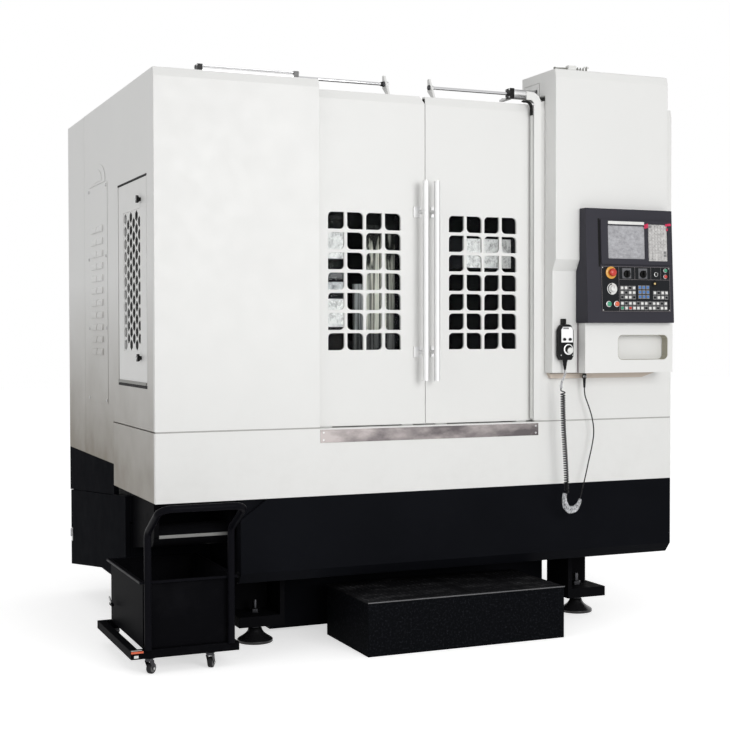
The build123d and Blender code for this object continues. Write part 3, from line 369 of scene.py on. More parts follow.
M = {
    "white": paint("white_enamel", white_color, 0.42, uneven=0.03, grime=0.07),
    "wall": wall_paint(),
    # Near-black sheet: painted shade inside the working space
    "shade_lining": paint("chamber_shade_lining", (0.019, 0.019, 0.023), 0.6, uneven=0.3, IOR=1.1),
    # The inner sheets glow: painted light on the sheets behind the windows
    "box_white": creased_sheet("inner_box_white", (0.74, 0.74, 0.73), (0.36, 0.36, 0.36), 0.42),
    "sheet_grey": creased_sheet("inner_sheet_grey", (0.17, 0.17, 0.175), (0.012, 0.013, 0.015), 0.15),
    "sheet_pale": creased_sheet("inner_sheet_pale", (0.55, 0.56, 0.57), (0.20, 0.21, 0.22), 0.22),
    "black": paint("black_enamel", black_color, 0.36, uneven=0.4, peel=0.2, IOR=1.05),
    "side_black": paint("side_black", black_color, 0.45, uneven=0.4, peel=0.2, IOR=1.012),
    "panel": paint("panel_black", (0.046, 0.045, 0.055), 0.38, uneven=0.2, peel=0.3, peel_scale=700.0,
                   IOR=1.15),
    # Beige of the ledge under the tower: painted shade
    "strip": paint("ledge_shade_beige", (0.60, 0.52, 0.45), 0.5),
    # Sheet inside the console's slot: painted shade
    "slot_shade": paint("slot_shade_beige", (0.36, 0.34, 0.27), 0.5),
    "cart_gloss": paint("cart_gloss", (0.006, 0.006, 0.008), 0.30, uneven=0.3, peel=0.15, IOR=1.07),
    "chute": paint("chute_black", (0.006, 0.006, 0.007), 0.35, uneven=0.3, peel=0.2, IOR=1.025),
    "foot_black": paint("foot_black", (0.012, 0.012, 0.013), 0.26, uneven=0.3, peel=0.2),
    "cart": worn_black("cart_black", (0.0045, 0.0045, 0.0055), (0.016, 0.016, 0.018), 0.38, 0.4, 4.0),
    "tread": worn_black("tread_black", (0.010, 0.010, 0.011), (0.055, 0.055, 0.058), 0.45, 0.9, 6.0),
    "lozenge": worn_black("lozenge_black", (0.016, 0.016, 0.018), (0.12, 0.12, 0.125), 0.36, 0.9, 6.0),
    "step": speckled_black("step_black", (0.0045, 0.005, 0.006), (0.030, 0.031, 0.038), 0.5),
    "sill": brushed("sill_steel", (0.36, 0.328, 0.320), 0.36, (0.02, 1, 1), 1400.0,
                    (0.112, 0.100, 0.104), 3.4),
    "steel": brushed("zinc_steel", (0.60, 0.60, 0.60), 0.35, (1, 1, 0.1), 1200.0),
    "dark_steel": brushed("oiled_steel", (0.055, 0.055, 0.06), 0.40, (1, 1, 0.1), 900.0),
    "worn_edge": brushed("worn_edge", (0.14, 0.14, 0.145), 0.5, (0.1, 1, 1), 300.0, metallic=0.4),
    # Light bar on the chute: painted highlight
    "painted_highlight_bar": brushed("painted_highlight_bar", (0.34, 0.34, 0.33), 0.45, (0.1, 1, 1), 400.0, metallic=0.5),
    "handle": brushed("satin_aluminium", (0.80, 0.80, 0.80), 0.40, (1, 1, 0.02), 1500.0, metallic=0.6),
    "chrome": brushed("chromed_rod", (0.62, 0.62, 0.63), 0.12, (0.02, 1, 1), 1800.0, depth=0.05),
    "tube": brushed("anodised_tube", (0.86, 0.86, 0.86), 0.40, (0.02, 1, 1), 1500.0),
    "brass": brushed("brass_fitting", (0.70, 0.52, 0.24), 0.30, (1, 1, 0.2), 900.0),
    "fitting": brushed("plated_fitting", (0.55, 0.55, 0.55), 0.4, (1, 1, 0.4), 700.0),
    "silver": brushed("pendant_plate", (0.80, 0.80, 0.80), 0.38, (0.1, 1, 1), 1600.0),
    "iron": turned_metal("turned_iron", (0.42, 0.42, 0.43), 0.34, at(1.375, 0.69, 0)),
    # Light streaks of the ways are painted reflections; way_side stands in for glints beside the ram
    "way": streaked_way("ground_way", (0.90, 0.90, 0.80), (0.030, 0.031, 0.030), 0.31),
    "way_dim": streaked_way("dim_way", (0.42, 0.42, 0.37), (0.014, 0.015, 0.015), 0.42),
    "way_side": streaked_way("side_way", (0.50, 0.52, 0.52), (0.060, 0.064, 0.070), 0.36),
    "way_low": streaked_way("shaded_way", (0.16, 0.16, 0.16), (0.030, 0.030, 0.034), 0.38),
    "ram": cast("ram_casting", (0.008, 0.0085, 0.009), 0.5, 1.05),
    "casting": cast("grey_casting", (0.010, 0.011, 0.013), 0.5, 1.1),
    "black_casting": cast("black_casting", (0.006, 0.006, 0.007), 0.55, 1.04),
    "glass": tinted_glass("window_glass", (0.93, 0.95, 0.95)),
    "screen": dark_display("screen_off", (0.36, 0.36, 0.38), 0.25),
    "film": dark_display("keypad_film", (0.52, 0.51, 0.50), 0.3),
    "wrap": wrapping_film(),
    "rubber": moulded("black_rubber", (0.010, 0.010, 0.010), 0.62, 0.3, 900.0, IOR=1.2),
    "plastic": moulded("black_plastic", (0.008, 0.008, 0.009), 0.40, IOR=1.2),
    "plate": moulded("plate_black", (0.012, 0.013, 0.015), 0.45, IOR=1.2),
    "knob": moulded("knob_black", (0.007, 0.007, 0.007), 0.30, IOR=1.25),
    "cord": moulded("cord_jacket", (0.006, 0.006, 0.007), 0.30, IOR=1.22),
    "tyre": moulded("castor_tyre", (0.022, 0.022, 0.023), 0.5, IOR=1.2),
    "hub": moulded("castor_hub", (0.13, 0.13, 0.13), 0.4, IOR=1.25),
    # Brown line under the tower: painted shadow
    "brown": moulded("ledge_shadow_brown", (0.16, 0.12, 0.085), 0.5),
    "sealant": moulded("seam_sealant", (0.42, 0.415, 0.40), 0.6),
    "head_grey": moulded("cylinder_head", (0.16, 0.16, 0.16), 0.4),
    "ledge_grey": moulded("ledge_grey", (0.24, 0.24, 0.22), 0.5),
    "rib": moulded("plate_rib", (0.30, 0.27, 0.28), 0.4),
    "grey_plate": moulded("switch_plate", (0.11, 0.11, 0.12), 0.4),
    "grey_key": moulded("grey_key", (0.22, 0.22, 0.22), 0.42),
    "white_key": moulded("white_plastic", (0.78, 0.78, 0.76), 0.35),
    "blue": moulded("blue_key", (0.06, 0.19, 0.50), 0.35),
    "green": moulded("green_plastic", (0.03, 0.30, 0.16), 0.28),
    "orange": moulded("orange_plastic", (0.75, 0.13, 0.05), 0.28),
    "red": moulded("red_plastic", (0.55, 0.035, 0.02), 0.28),
    "yellow": moulded("yellow_plastic", (0.80, 0.40, 0.06), 0.32),
    "tab_red": moulded("film_tab", (0.62, 0.02, 0.09), 0.35),
}


# Shapes

sharp_angle = math.radians(38)


def round_edges(made, width, segments=2, angle=sharp_angle, harden=True):
    """Rounds the edges that are sharper than the angle."""
    rounding = made.modifiers.new("bevel", "BEVEL")
    rounding.width = width
    rounding.segments = segments
    rounding.limit_method = "ANGLE"
    rounding.angle_limit = angle
    rounding.harden_normals = harden


def settle(made, body, replaces=()):
    """A finished object rides on its body and may stand for nodes."""
    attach(made, body)
    if replaces:
        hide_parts(*replaces)
    return made


def turns(count):
    """Evenly spaced angles of a full turn."""
    return [2 * math.pi * step / count for step in range(count)]


def about(centre, across, other, turn, radius):
    """Point at an angle round a centre."""
    return centre + (across * math.cos(turn) + other * math.sin(turn)) * radius


class Shape:
    """Mesh being built; key says which material the faces take."""

    def __init__(self, *keys):
        self.mesh = bmesh.new()
        self.keys = list(keys)

    def index(self, key):
        if key not in self.keys:
            self.keys.append(key)
        return self.keys.index(key)

    def prism(self, outline, way, key):
        """Flat outline pushed along a vector."""
        index = self.index(key)
        low = [self.mesh.verts.new(point) for point in outline]
        high = [self.mesh.verts.new(Vector(point) + Vector(way)) for point in outline]
        faces = [self.mesh.faces.new(low), self.mesh.faces.new(high[::-1])]
        for here, after in zip(range(len(low)), [*range(1, len(low)), 0]):
            faces.append(self.mesh.faces.new([low[after], low[here], high[here], high[after]]))
        for made in faces:
            made.material_index = index

    def box(self, low, high, key):
        (x0, y0, z0), (x1, y1, z1) = low, high
        self.prism([(x0, y0, z0), (x1, y0, z0), (x1, y1, z0), (x0, y1, z0)], (0, 0, z1 - z0), key)

    def block(self, x0, x1, y0, y1, z0, z1, key):
        """Box between places from the housing's corner."""
        self.box(at(x0, y0, z0), at(x1, y1, z1), key)

    def along_x(self, outline, x, depth, key):
        """Outline of (y, z) points pushed along X."""
        self.prism([at(x, y, z) for y, z in outline], (depth, 0, 0), key)

    def along_y(self, outline, y, depth, key):
        """Outline of (x, z) points pushed along Y."""
        self.prism([at(x, y, z) for x, z in outline], (0, depth, 0), key)

    def lathe(self, start, way, profile, key, sides=32):
        """Round shape: profile holds (distance along the way, radius)."""
        index = self.index(key)
        start, way = Vector(start), Vector(way).normalized()
        across = way.orthogonal().normalized()
        other = way.cross(across)
        rings = []
        for along, radius in profile:
            centre = start + way * along
            points = [centre]
            if radius > 1e-6:
                points = [about(centre, across, other, turn, radius) for turn in turns(sides)]
            rings.append([self.mesh.verts.new(point) for point in points])
        faces = [self.mesh.faces.new(ring) for ring in (rings[0], rings[-1]) if len(ring) > 1]
        for first, second in zip(rings, rings[1:]):
            for step in range(sides):
                after = (step + 1) % sides
                corners = [first[step % len(first)], first[after % len(first)],
                           second[after % len(second)], second[step % len(second)]]
                faces.append(self.mesh.faces.new(list(dict.fromkeys(corners))))
        for made in faces:
            made.material_index = index

    def rod(self, start, end, radius, key, sides=32, edge=0.0):
        """Round bar between two points, its rims rounded by edge."""
        start, end = Vector(start), Vector(end)
        length = (end - start).length
        profile = [(0, radius - edge), (edge, radius), (length - edge, radius), (length, radius - edge)]
        if edge == 0:
            profile = [(0, radius), (length, radius)]
        self.lathe(start, end - start, profile, key, sides)

    def screw(self, point, way, radius, key="steel"):
        """Low round screw head with a round socket."""
        self.lathe(point, way, [(0, radius), (radius * 0.45, radius), (radius * 0.6, radius * 0.85),
                                (radius * 0.6, radius * 0.5), (radius * 0.3, radius * 0.45),
                                (radius * 0.3, 0)], key, 12)

    def nut(self, point, way, radius, height, key="steel"):
        profile = [(0, radius), (height * 0.85, radius), (height, radius * 0.85), (height, 0)]
        self.lathe(point, way, profile, key, 6)

    def star(self, point, way, radius, lobes, height, key):
        """Knob with lobes round its rim."""
        way = Vector(way).normalized()
        across = way.orthogonal().normalized()
        other = way.cross(across)
        outline = []
        for turn in turns(lobes * 8):
            reach = radius * (0.84 + 0.16 * math.cos(lobes * turn))
            outline.append(about(Vector(point), across, other, turn, reach))
        self.prism(outline, way * height, key)

    def place(self, matrix):
        bmesh.ops.transform(self.mesh, matrix=matrix, verts=self.mesh.verts)

    def piece(self, name, slot, bevel=0.0, segments=2, body="machine", replaces=()):
        """Turns the mesh into a piece that rides on a body."""
        bmesh.ops.recalc_face_normals(self.mesh, faces=self.mesh.faces)
        data = bpy.data.meshes.new(name)
        self.mesh.to_mesh(data)
        self.mesh.free()
        data.polygons.foreach_set("use_smooth", [True] * len(data.polygons))
        data.set_sharp_from_angle(angle=sharp_angle)
        for key in self.keys:
            data.materials.append(M[key])
        made = shown(name, data)
        if bevel > 0:
            round_edges(made, bevel, segments)
        return settle(made, body, replaces)


def block_piece(name, slot, key, *rows, **more):
    """Piece made of blocks of one material."""
    shape = Shape()
    for row in rows:
        shape.block(*row, key)
    shape.piece(name, slot, **more)


def perforated(name, outline, holes, thickness, matrix, key):
    """Flat sheet with holes, all given as loops of (x, y), then put in place."""
    curve = bpy.data.curves.new(name, "CURVE")
    curve.dimensions = "2D"
    curve.fill_mode = "BOTH"
    curve.extrude = thickness / 2
    for loop in (outline, *holes):
        spline = curve.splines.new("POLY")
        spline.points.add(len(loop) - 1)
        for point, (x, y) in zip(spline.points, loop):
            point.co = (x, y, 0, 1)
        spline.use_cyclic_u = True
    holder = bpy.data.objects.new(name + "_curve", curve)
    mesh = bpy.data.meshes.new_from_object(holder)
    bpy.data.objects.remove(holder)
    mesh.transform(matrix)
    mesh.name = name
    mesh.materials.clear()
    mesh.materials.append(M[key])
    return shown(name, mesh)


def rounded(x0, x1, y0, y1, radius, steps=5):
    """Rectangle with rounded corners as a loop."""
    loop = []
    for cx, cy, start in ((x1 - radius, y1 - radius, 0), (x0 + radius, y1 - radius, 90),
                          (x0 + radius, y0 + radius, 180), (x1 - radius, y0 + radius, 270)):
        for step in range(steps + 1):
            turn = math.radians(start + 90 * step / steps)
            loop.append((cx + radius * math.cos(turn), cy + radius * math.sin(turn)))
    return loop


# Pendant cord: gland, lead, curly stretch and tail on one spline

cord_diameter = 0.0060
coil_radius = 0.0104
coil_turns = 42
coil_opening = 0.035
points_per_turn = 12
gland_tip = at(2.204, -0.050, 1.222)
pendant_tip = at(2.057, -0.104, 1.316)
lead_route = [
    (2.204, -0.050, 1.222), (2.204, -0.050, 1.187), (2.226, -0.050, 1.140), (2.250, -0.051, 1.075),
    (2.262, -0.052, 1.000), (2.248, -0.055, 0.930), (2.222, -0.062, 0.850), (2.196, -0.070, 0.765),
    (2.166, -0.082, 0.690), (2.146, -0.090, 0.634), (2.110, -0.095, 0.610), (2.076, -0.098, 0.618),
    (2.0586, -0.101, 0.648), (2.0586, -0.101, 0.670)]
coil_route = [(2.069, -0.101, 0.690), (2.069, -0.101, 0.780), (2.060, -0.102, 0.900),
              (2.046, -0.103, 1.080), (2.046, -0.103, 1.226)]
tail_route = [(2.0356, -0.103, 1.240), (2.041, -0.103, 1.262), (2.054, -0.104, 1.282),
              (2.057, -0.104, 1.300), (2.057, -0.104, 1.316)]

# Sleeves round the cord's loop and tail: middle lines and radii
loop_wrap_route = [(2.0586, -0.101, 0.700), (2.0586, -0.101, 0.670), (2.0586, -0.101, 0.648),
                   (2.076, -0.098, 0.618), (2.110, -0.095, 0.610), (2.146, -0.090, 0.634),
                   (2.158, -0.086, 0.664)]
loop_wrap_radii = (0.0100, 0.0115, 0.0150, 0.0175, 0.0170, 0.0110, 0.0065)
tail_wrap_route = [(2.0356, -0.103, 1.226), (2.0356, -0.103, 1.240), (2.041, -0.103, 1.262),
                   (2.054, -0.104, 1.282), (2.057, -0.104, 1.300), (2.057, -0.104, 1.314)]
tail_wrap_radii = (0.0070, 0.0062, 0.0060, 0.0066)


def smooth_curve(name, points, radius=0.0):
    """Smooth spline led by its control points."""
    curve = bpy.data.curves.new(name, "CURVE")
    curve.dimensions = "3D"
    curve.bevel_depth = radius
    curve.bevel_resolution = 4
    curve.use_fill_caps = True
    spline = curve.splines.new("NURBS")
    spline.points.add(len(points) - 1)
    for point, place in zip(spline.points, points):
        point.co = (*place, 1)
    spline.order_u = 3
    spline.use_endpoint_u = True
    spline.resolution_u = 4
    return curve


def line_of(route):
    """Points that the smooth spline of a route runs through."""
    curve = smooth_curve("route", [at(*point) for point in route])
    curve.splines[0].resolution_u = 12
    holder = bpy.data.objects.new("route", curve)
    mesh = bpy.data.meshes.new_from_object(holder)
    line = [vertex.co.copy() for vertex in mesh.vertices]
    bpy.data.objects.remove(holder)
    return line


def along_line(line, share):
    """Point at a share of a line's length, with the line's direction and two directions across it."""
    lengths = [(b - a).length for a, b in zip(line, line[1:])]
    left = share * sum(lengths)
    centre, way = line[-1], (line[-1] - line[-2]).normalized()
    for a, b, length in zip(line, line[1:], lengths):
        if left <= length:
            centre, way = a.lerp(b, left / length), (b - a).normalized()
            break
        left -= length
    across = way.cross(Vector((0, 1, 0))).normalized()
    return centre, across, way.cross(across)


def helix_points():
    """Turns round the curly stretch's middle line, wound more steeply towards its ends."""
    line = line_of(coil_route)
    long = sum((b - a).length for a, b in zip(line, line[1:]))
    count = round(coil_turns * points_per_turn * long / (long - coil_opening))
    pace = [min(1.0, min(step, count - step) / count * long / coil_opening) for step in range(count + 1)]
    angles = [2 * math.pi * coil_turns * sum(pace[:step + 1]) / sum(pace) for step in range(count + 1)]
    return [about(*along_line(line, step / count), angle, coil_radius) for step, angle in enumerate(angles)]


def length_of(made):
    mesh = bpy.data.meshes.new_from_object(made)
    ends = [[mesh.vertices[number].co for number in edge.vertices] for edge in mesh.edges]
    return sum((a - b).length for a, b in ends)


def wrapping(name, route, radii, phase):
    """Clear crumpled sleeve round the cord."""
    line = line_of(route)
    count, sides = 46, 18
    shape = Shape("wrap")
    rings = []
    for step in range(count + 1):
        share = step / count
        centre, across, other = along_line(line, share)
        position = share * (len(radii) - 1)
        lower = min(int(position), len(radii) - 2)
        radius = radii[lower] + (radii[lower + 1] - radii[lower]) * (position - lower)
        ring = []
        for turn in turns(sides):
            crumple = 1 + 0.11 * math.sin(5 * turn + 15 * share + phase)
            crumple += 0.08 * math.sin(3 * turn - 27 * share)
            ring.append(shape.mesh.verts.new(about(centre, across, other, turn, radius * crumple)))
        rings.append(ring)
    for first, second in zip(rings, rings[1:]):
        for here, after in zip(range(sides), [*range(1, sides), 0]):
            shape.mesh.faces.new((first[here], first[after], second[after], second[here]))
    shape.mesh.faces.new(rings[0])
    shape.mesh.faces.new(rings[-1])
    return shape.piece(name, "cord_black")


def make_cord():
    points = [at(*point) for point in lead_route] + helix_points() + [at(*point) for point in tail_route]
    bare = bpy.data.objects.new("bare", smooth_curve("bare", points))
    length = length_of(bare)
    bpy.data.objects.remove(bare)
    cord = shown("pendant_cord", smooth_curve("pendant_cord", points, cord_diameter / 2))
    cord.data.materials.append(M["cord"])
    settle(cord, "machine", ("cord_lead", "cord_coil"))
    wrappings = [wrapping("loop_wrapping", loop_wrap_route, loop_wrap_radii, 0.0),
                 wrapping("tail_wrapping", tail_wrap_route, tail_wrap_radii, 1.0)]


# Light, floor and background

def is_seen(tree):
    """1 for rays of the camera, of gloss and through glass."""
    path = add_node(tree, "LightPath").outputs
    gloss = combined(tree, "MAXIMUM", path["Is Camera Ray"], path["Is Glossy Ray"])
    return combined(tree, "MAXIMUM", gloss, path["Is Transmission Ray"])


def make_world():
    world = bpy.data.worlds.new("studio")
    world.use_nodes = True
    bpy.context.scene.world = world
    tree = world.node_tree
    back = tree.nodes["Background"]
    back.inputs["Color"].default_value = (1, 1, 1, 1)
    link(tree, back, Strength=ranged(tree, is_seen(tree), 0.0, 1.0, 0.50, 1.0))


def make_floor():
    size = 30.0
    corners = [(-size, -size, 0), (size, -size, 0), (size, size, 0), (-size, size, 0)]
    mesh = bpy.data.meshes.new("floor")
    mesh.from_pydata(corners, [], [(0, 1, 2, 3)])
    floor = shown("floor", mesh)
    material, tree, shader = base_material("floor", (0.80, 0.80, 0.80), 0.9)
    shader.inputs["Emission Color"].default_value = (1, 1, 1, 1)
    link(tree, shader, Emission_Strength=ranged(tree, is_seen(tree), 0.0, 1.0, 0.0, 0.60))
    mesh.materials.append(material)


def area_light(name, place, width, height, power):
    data = bpy.data.lights.new(name, "AREA")
    data.shape = "RECTANGLE"
    data.size = width
    data.size_y = height
    data.energy = power
    light = shown(name, data)
    light.location = place
    return light


def make_lights():
    middle = Vector((0, 0, 1.2))
    for name, place, size, power in (("key", (0.8, -7.6, 2.9), 3.2, 214),
                                     ("left_fill", (-7.0, -3.0, 4.0), 5.0, 66)):
        light = area_light(name, place, size, size, power)
        light.rotation_mode = "QUATERNION"
        light.rotation_quaternion = (middle - Vector(place)).to_track_quat("-Z", "Y")


def inner_light():
    """Lights the working space from behind the leaves' meeting stiles; no ray sees the lamp itself."""
    light = area_light("inner", at(1.354, 0.132, 1.80), 0.15, 0.9, 3.0)
    light.rotation_euler = (math.pi / 2, 0, math.pi)
    light.visible_camera = False
    light.visible_glossy = False
    light.visible_transmission = False


# Carried-over nodes and their finish

finish_of = {
    "white": ["left_front_cover", "right_front_cover", "front_skirt", "left_bay", "right_bay",
              "column_block", "chamber_roof", "base_deck", "left_door", "right_door", "service_door",
              "tower_shell", "console_box"],
    "wall": ["left_side_wall", "left_rear_wall", "left_skirt"],
    "sill": ["sill_strip"],
    "glass": ["left_door_glass", "right_door_glass"],
    "handle": ["left_door_handle", "right_door_handle"],
    "chrome": ["left_door_rod", "right_door_rod"],
    "iron": ["work_table"],
    "ram": ["tool_ram"],
    "casting": ["cross_rail"],
    "panel": ["control_panel"],
    # The side boxes take the near-black lining: painted shade.
    "shade_lining": ["side_boxes"],
    "black": ["front_apron", "bed", "coolant_tank"],
    "side_black": ["side_plate", "side_tank"],
    "black_casting": ["bed_legs"],
    "cart": ["cart_tray", "cart_frame"],
    "chute": ["chip_chute"],
    "cart_gloss": ["cart_handle"],
    "step": ["step_box"],
}
soft_edges = {
    0.0015: ["left_front_cover", "right_front_cover", "front_skirt", "left_skirt", "left_side_wall",
             "left_rear_wall", "service_door", "side_plate", "console_box", "sill_strip", "step_box"],
    0.003: ["left_door", "right_door", "control_panel", "side_boxes", "side_tank", "front_apron"],
    0.006: ["tower_shell"],
    0.002: ["cart_tray", "cart_frame", "chip_chute", "work_table", "tool_ram"],
    0.004: ["bed", "bed_legs", "cross_rail"],
}
weld_distance = 0.00002
flat_angle = math.radians(0.5)
node_angle = math.radians(40)


def dress_nodes():
    """Gives the carried-over nodes their materials and rounds their sharp edges."""
    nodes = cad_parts
    for key, names in finish_of.items():
        for name in names:
            slots = nodes[name].data.materials
            slots.clear()
            slots.append(M[key])
    for width, names in soft_edges.items():
        for name in names:
            nodes[name].modifiers.new("weld", "WELD").merge_threshold = weld_distance
            flat = nodes[name].modifiers.new("flat", "DECIMATE")
            flat.decimate_type = "DISSOLVE"
            flat.angle_limit = flat_angle
            round_edges(nodes[name], width, angle=node_angle)


# Inside of the working space

def make_shade_lining():
    """Dark sheet lining behind the windows: painted shade of the dim working space."""
    gap, thick, front = 0.0005, 0.001, 0.141
    near, far = span("left_bay").x1 + gap, span("right_bay").x0 - gap
    low, high = span("base_deck").z1 + gap, span("chamber_roof").z0 - gap
    rear = span("column_block").y0 - gap
    block_piece("chamber_shade_lining", "black_paint", "shade_lining",
                (near, near + thick, front, rear, low, high),
                (far - thick, far, front, rear, low, high),
                (near + thick, far - thick, rear - thick, rear, low, high),
                (near + thick, far - thick, front, rear - thick, low, low + thick),
                (near + thick, far - thick, front, rear - thick, high - thick, high))


def make_ways():
    """Ground ways on the ram's front, with shaded plates below them, and the ribbed cover of the rail."""
    ram, rail = span("tool_ram"), span("cross_rail")
    low, joint, top = 1.400, 1.500, 2.08
    shape = Shape()
    # Their light streaks are painted reflections; the side strips stand in for glints.
    for x0, x1, key in ((0.003, 0.052, "way"), (0.056, 0.086, "way"), (0.094, 0.128, "way"),
                        (0.133, 0.177, "way_dim")):
        shape.block(ram.x0 + x0, ram.x0 + x1, ram.y0 - 0.004, ram.y0 - seat, joint, top, key)
        shape.block(ram.x0 + x0, ram.x0 + x1, ram.y0 - 0.003, ram.y0 - seat, low, joint - 0.001, "way_low")
    for dy, z0, z1, key in ((0.004, joint, 1.765, "way_side"), (0.006, low, joint - 0.001, "way_low")):
        shape.block(ram.x0 - 0.060, ram.x0 - seat, ram.y0 + dy, ram.y0 + 0.020, z0, z1, key)
    shape.piece("ram_ways", "machined_iron", 0.001)
    count, margin = 22, 0.02
    pitch = (rail.x1 - rail.x0 - 2 * margin) / count
    ribs = [rail.x0 + margin + step * pitch for step in range(count)]
    block_piece("rail_cover", "black_plastic", "rubber",
                *[(x, x + pitch * 0.8, rail.y0 - 0.006, rail.y0 - seat, rail.z0 + 0.05, rail.z1 - 0.05)
                  for x in ribs], bevel=0.002)


def make_inner_sheets():
    """Pale covers on the fronts of the inner side boxes and grey ones between them; their glow is painted
    light.
    """
    boxes = span("side_boxes")
    y0, y1 = boxes.y0 - 0.0020, boxes.y0 - seat
    near, far = (boxes.x0 + 0.002, boxes.x0 + 0.267), (boxes.x1 - 0.283, boxes.x1 - 0.002)
    shape = Shape()
    for (x0, x1), z0, z1, key in ((near, 1.533, 1.672, "box_white"), (near, 1.870, 2.005, "box_white"),
                                  (near, 1.772, 1.805, "sheet_grey"), (near, 1.700, 1.755, "sheet_pale"),
                                  (far, 1.838, 1.988, "box_white")):
        shape.block(x0, x1, y0, y1, z0, z1, key)
    shape.block(boxes.x0 + 0.002, boxes.x0 + 0.030, y1, y1 + 0.060, 1.700, 1.805, "sheet_grey")
    shape.piece("inner_sheets", "white_paint", 0.0006)


# Left wall: service door and louvre panel

def make_grille():
    """Thin plate with staggered six-sided holes in the service door's opening, and its two side rails."""
    grille = span("service_grille")
    column_pitch, row_pitch, half, wide = 0.0566, 0.0606, 0.0276, 0.0270
    y0, y1, z0, z1 = grille.y0, grille.y1, grille.z0, grille.z1
    holes = []
    for column in range(6):
        y = y0 + column_pitch * (column + 0.5)
        rows, start = (11, 0.030) if column % 2 else (10, 0.060)
        for row in range(rows):
            z = z0 + start + row * row_pitch
            holes.append([(y + dy * wide, z + dz * half) for dy, dz in
                          ((0, 1), (1, 0.42), (1, -0.42), (0, -1), (-1, -0.42), (-1, 0.42))])
    turn = Matrix(((0, 0, 1, 0), (1, 0, 0, 0), (0, 1, 0, 0), (0, 0, 0, 1)))
    matrix = Matrix.Translation(at(grille.x0 - 0.0065, 0, 0)) @ turn
    outline = [(y0, z0), (y1, z0), (y1, z1), (y0, z1)]
    made = perforated("service_mesh", outline, holes, 0.0015, matrix, "white")
    settle(made, "service_leaf", ("service_grille",))
    block_piece("service_mesh_frame", "white_paint", "white",
                *[(grille.x0 - 0.0055, grille.x0 + 0.004, a, b, z0 + seat, z1 - seat)
                  for a, b in ((y0 + seat, y0 + 0.004), (y1 - 0.004, y1 - seat))],
                bevel=0.0008, body="service_leaf")


def make_service_details():
    """Star knobs, seal and ledge of the service door."""
    door, knob = span("service_door"), span("service_knobs")
    y = (knob.y0 + knob.y1) / 2
    shape = Shape()
    for z in (knob.z0 + 0.017, knob.z1 - 0.017):
        shape.lathe(at(-seat, y, z), to_left, [(0, 0.009), (0.008, 0.009), (0.008, 0)], "knob", 20)
        shape.star(at(-0.0085, y, z), to_left, 0.0185, 5, 0.013, "knob")
        shape.lathe(at(-0.0215, y, z), to_left, [(0, 0.006), (0.0015, 0.0055), (0.0015, 0)], "steel", 16)
    shape.piece("service_stars", "black_plastic", 0.0015, body="service_leaf", replaces=("service_knobs",))
    near, far = door.y0 - 0.010, door.y1 + 0.011
    block_piece("service_seal", "black_plastic", "rubber",
                (0.0035, 0.0115, near, far, door.z1 + 0.0005, door.z1 + 0.0095),
                (0.0035, 0.0115, near, far, door.z0 - 0.0095, door.z0 - 0.0005),
                (-0.0016, -0.0002, near, door.y1 + 0.004, door.z1 + 0.0015, door.z1 + 0.0100),
                (-0.0016, -0.0002, door.y0 - 0.004, door.y1 + 0.004, door.z0 - 0.0130, door.z0 - 0.0015))
    block_piece("service_ledge", "white_paint", "ledge_grey",
                (-0.0050, -seat, door.y0 + 0.004, door.y1 - 0.006, door.z0 + 0.001, door.z0 + 0.015),
                bevel=0.001, body="service_leaf")


def make_service_bay():
    """Dark filter mat behind the service door and the bars that hold it."""
    door = span("service_door")
    block_piece("filter_mat", "black_plastic", "rubber",
                (0.1525, 0.1715, door.y0 + 0.006, door.y1 + 0.003, door.z0 + 0.006, door.z1 - 0.006),
                bevel=0.004)
    bars = [door.z0 + 0.06 + step * 0.118 for step in range(8)]
    block_piece("filter_frame", "foot_steel", "dark_steel",
                *[(0.146, 0.1522, door.y0 + 0.010, door.y1 - 0.002, z, z + 0.012) for z in bars],
                bevel=0.001)


def make_louvre_panel():
    """Screwed panel with louvres and an arched cap on the rear part of the left wall."""
    y0, y1, z0, z1 = 0.960, 1.430, 1.140, 2.280
    middle, apex, base = 1.205, 2.392, z1 + 0.004
    shape = Shape()
    shape.block(-0.0022, -0.0002, y0, y1, z0, z1, "wall")
    arch = [(middle + 0.195 * math.cos(turn), base + (apex - base) * math.sin(turn) ** 0.75)
            for turn in [math.pi * step / 24 for step in range(25)]]
    inner = [(middle + (y - middle) * 0.62, base + 0.012 + (z - base) * 0.62) for y, z in arch]
    shape.along_x(arch, -0.0002, -0.0030, "wall")
    shape.along_x(inner, -0.0032, -0.0022, "wall")
    louvre = [(-0.0022, 0.036), (-0.0050, 0.034), (-0.0078, 0.027), (-0.0095, 0.016), (-0.0100, 0.004),
              (-0.0088, 0.002), (-0.0022, 0.002)]
    for z in [1.39 + 0.064 * row for row in range(11)]:
        for y in (1.062, 1.206):
            shape.along_y([(x, z + up) for x, up in louvre], y, 0.128, "wall")
    shape.piece("louvre_panel", "white_paint", 0.0012)
    screws = Shape()
    for y in (0.981, 1.408):
        for z in (1.158, 1.530, 1.900, 2.262):
            screws.screw(at(-0.0022, y, z), to_left, 0.0080, "fitting")
    screws.piece("louvre_screws", "foot_steel")


# Doors, sill, door cylinders and the tower's roof

def make_window_seals():
    """Rubber frame behind each leaf's glass."""
    edge = 0.014
    for side in ("left", "right"):
        glass = span(f"{side}_door_glass")
        x0, x1, z0, z1 = glass.x0, glass.x1, glass.z0, glass.z1
        block_piece(f"{side}_glass_seal", "black_plastic", "rubber",
                    *[(a, b, glass.y1 + seat, glass.y1 + 0.006, c, d) for a, b, c, d in (
                        (x0, x0 + edge, z0, z1), (x1 - edge, x1, z0, z1),
                        (x0 + edge, x1 - edge, z0, z0 + edge), (x0 + edge, x1 - edge, z1 - edge, z1))],
                    bevel=0.001, body=f"{side}_leaf")


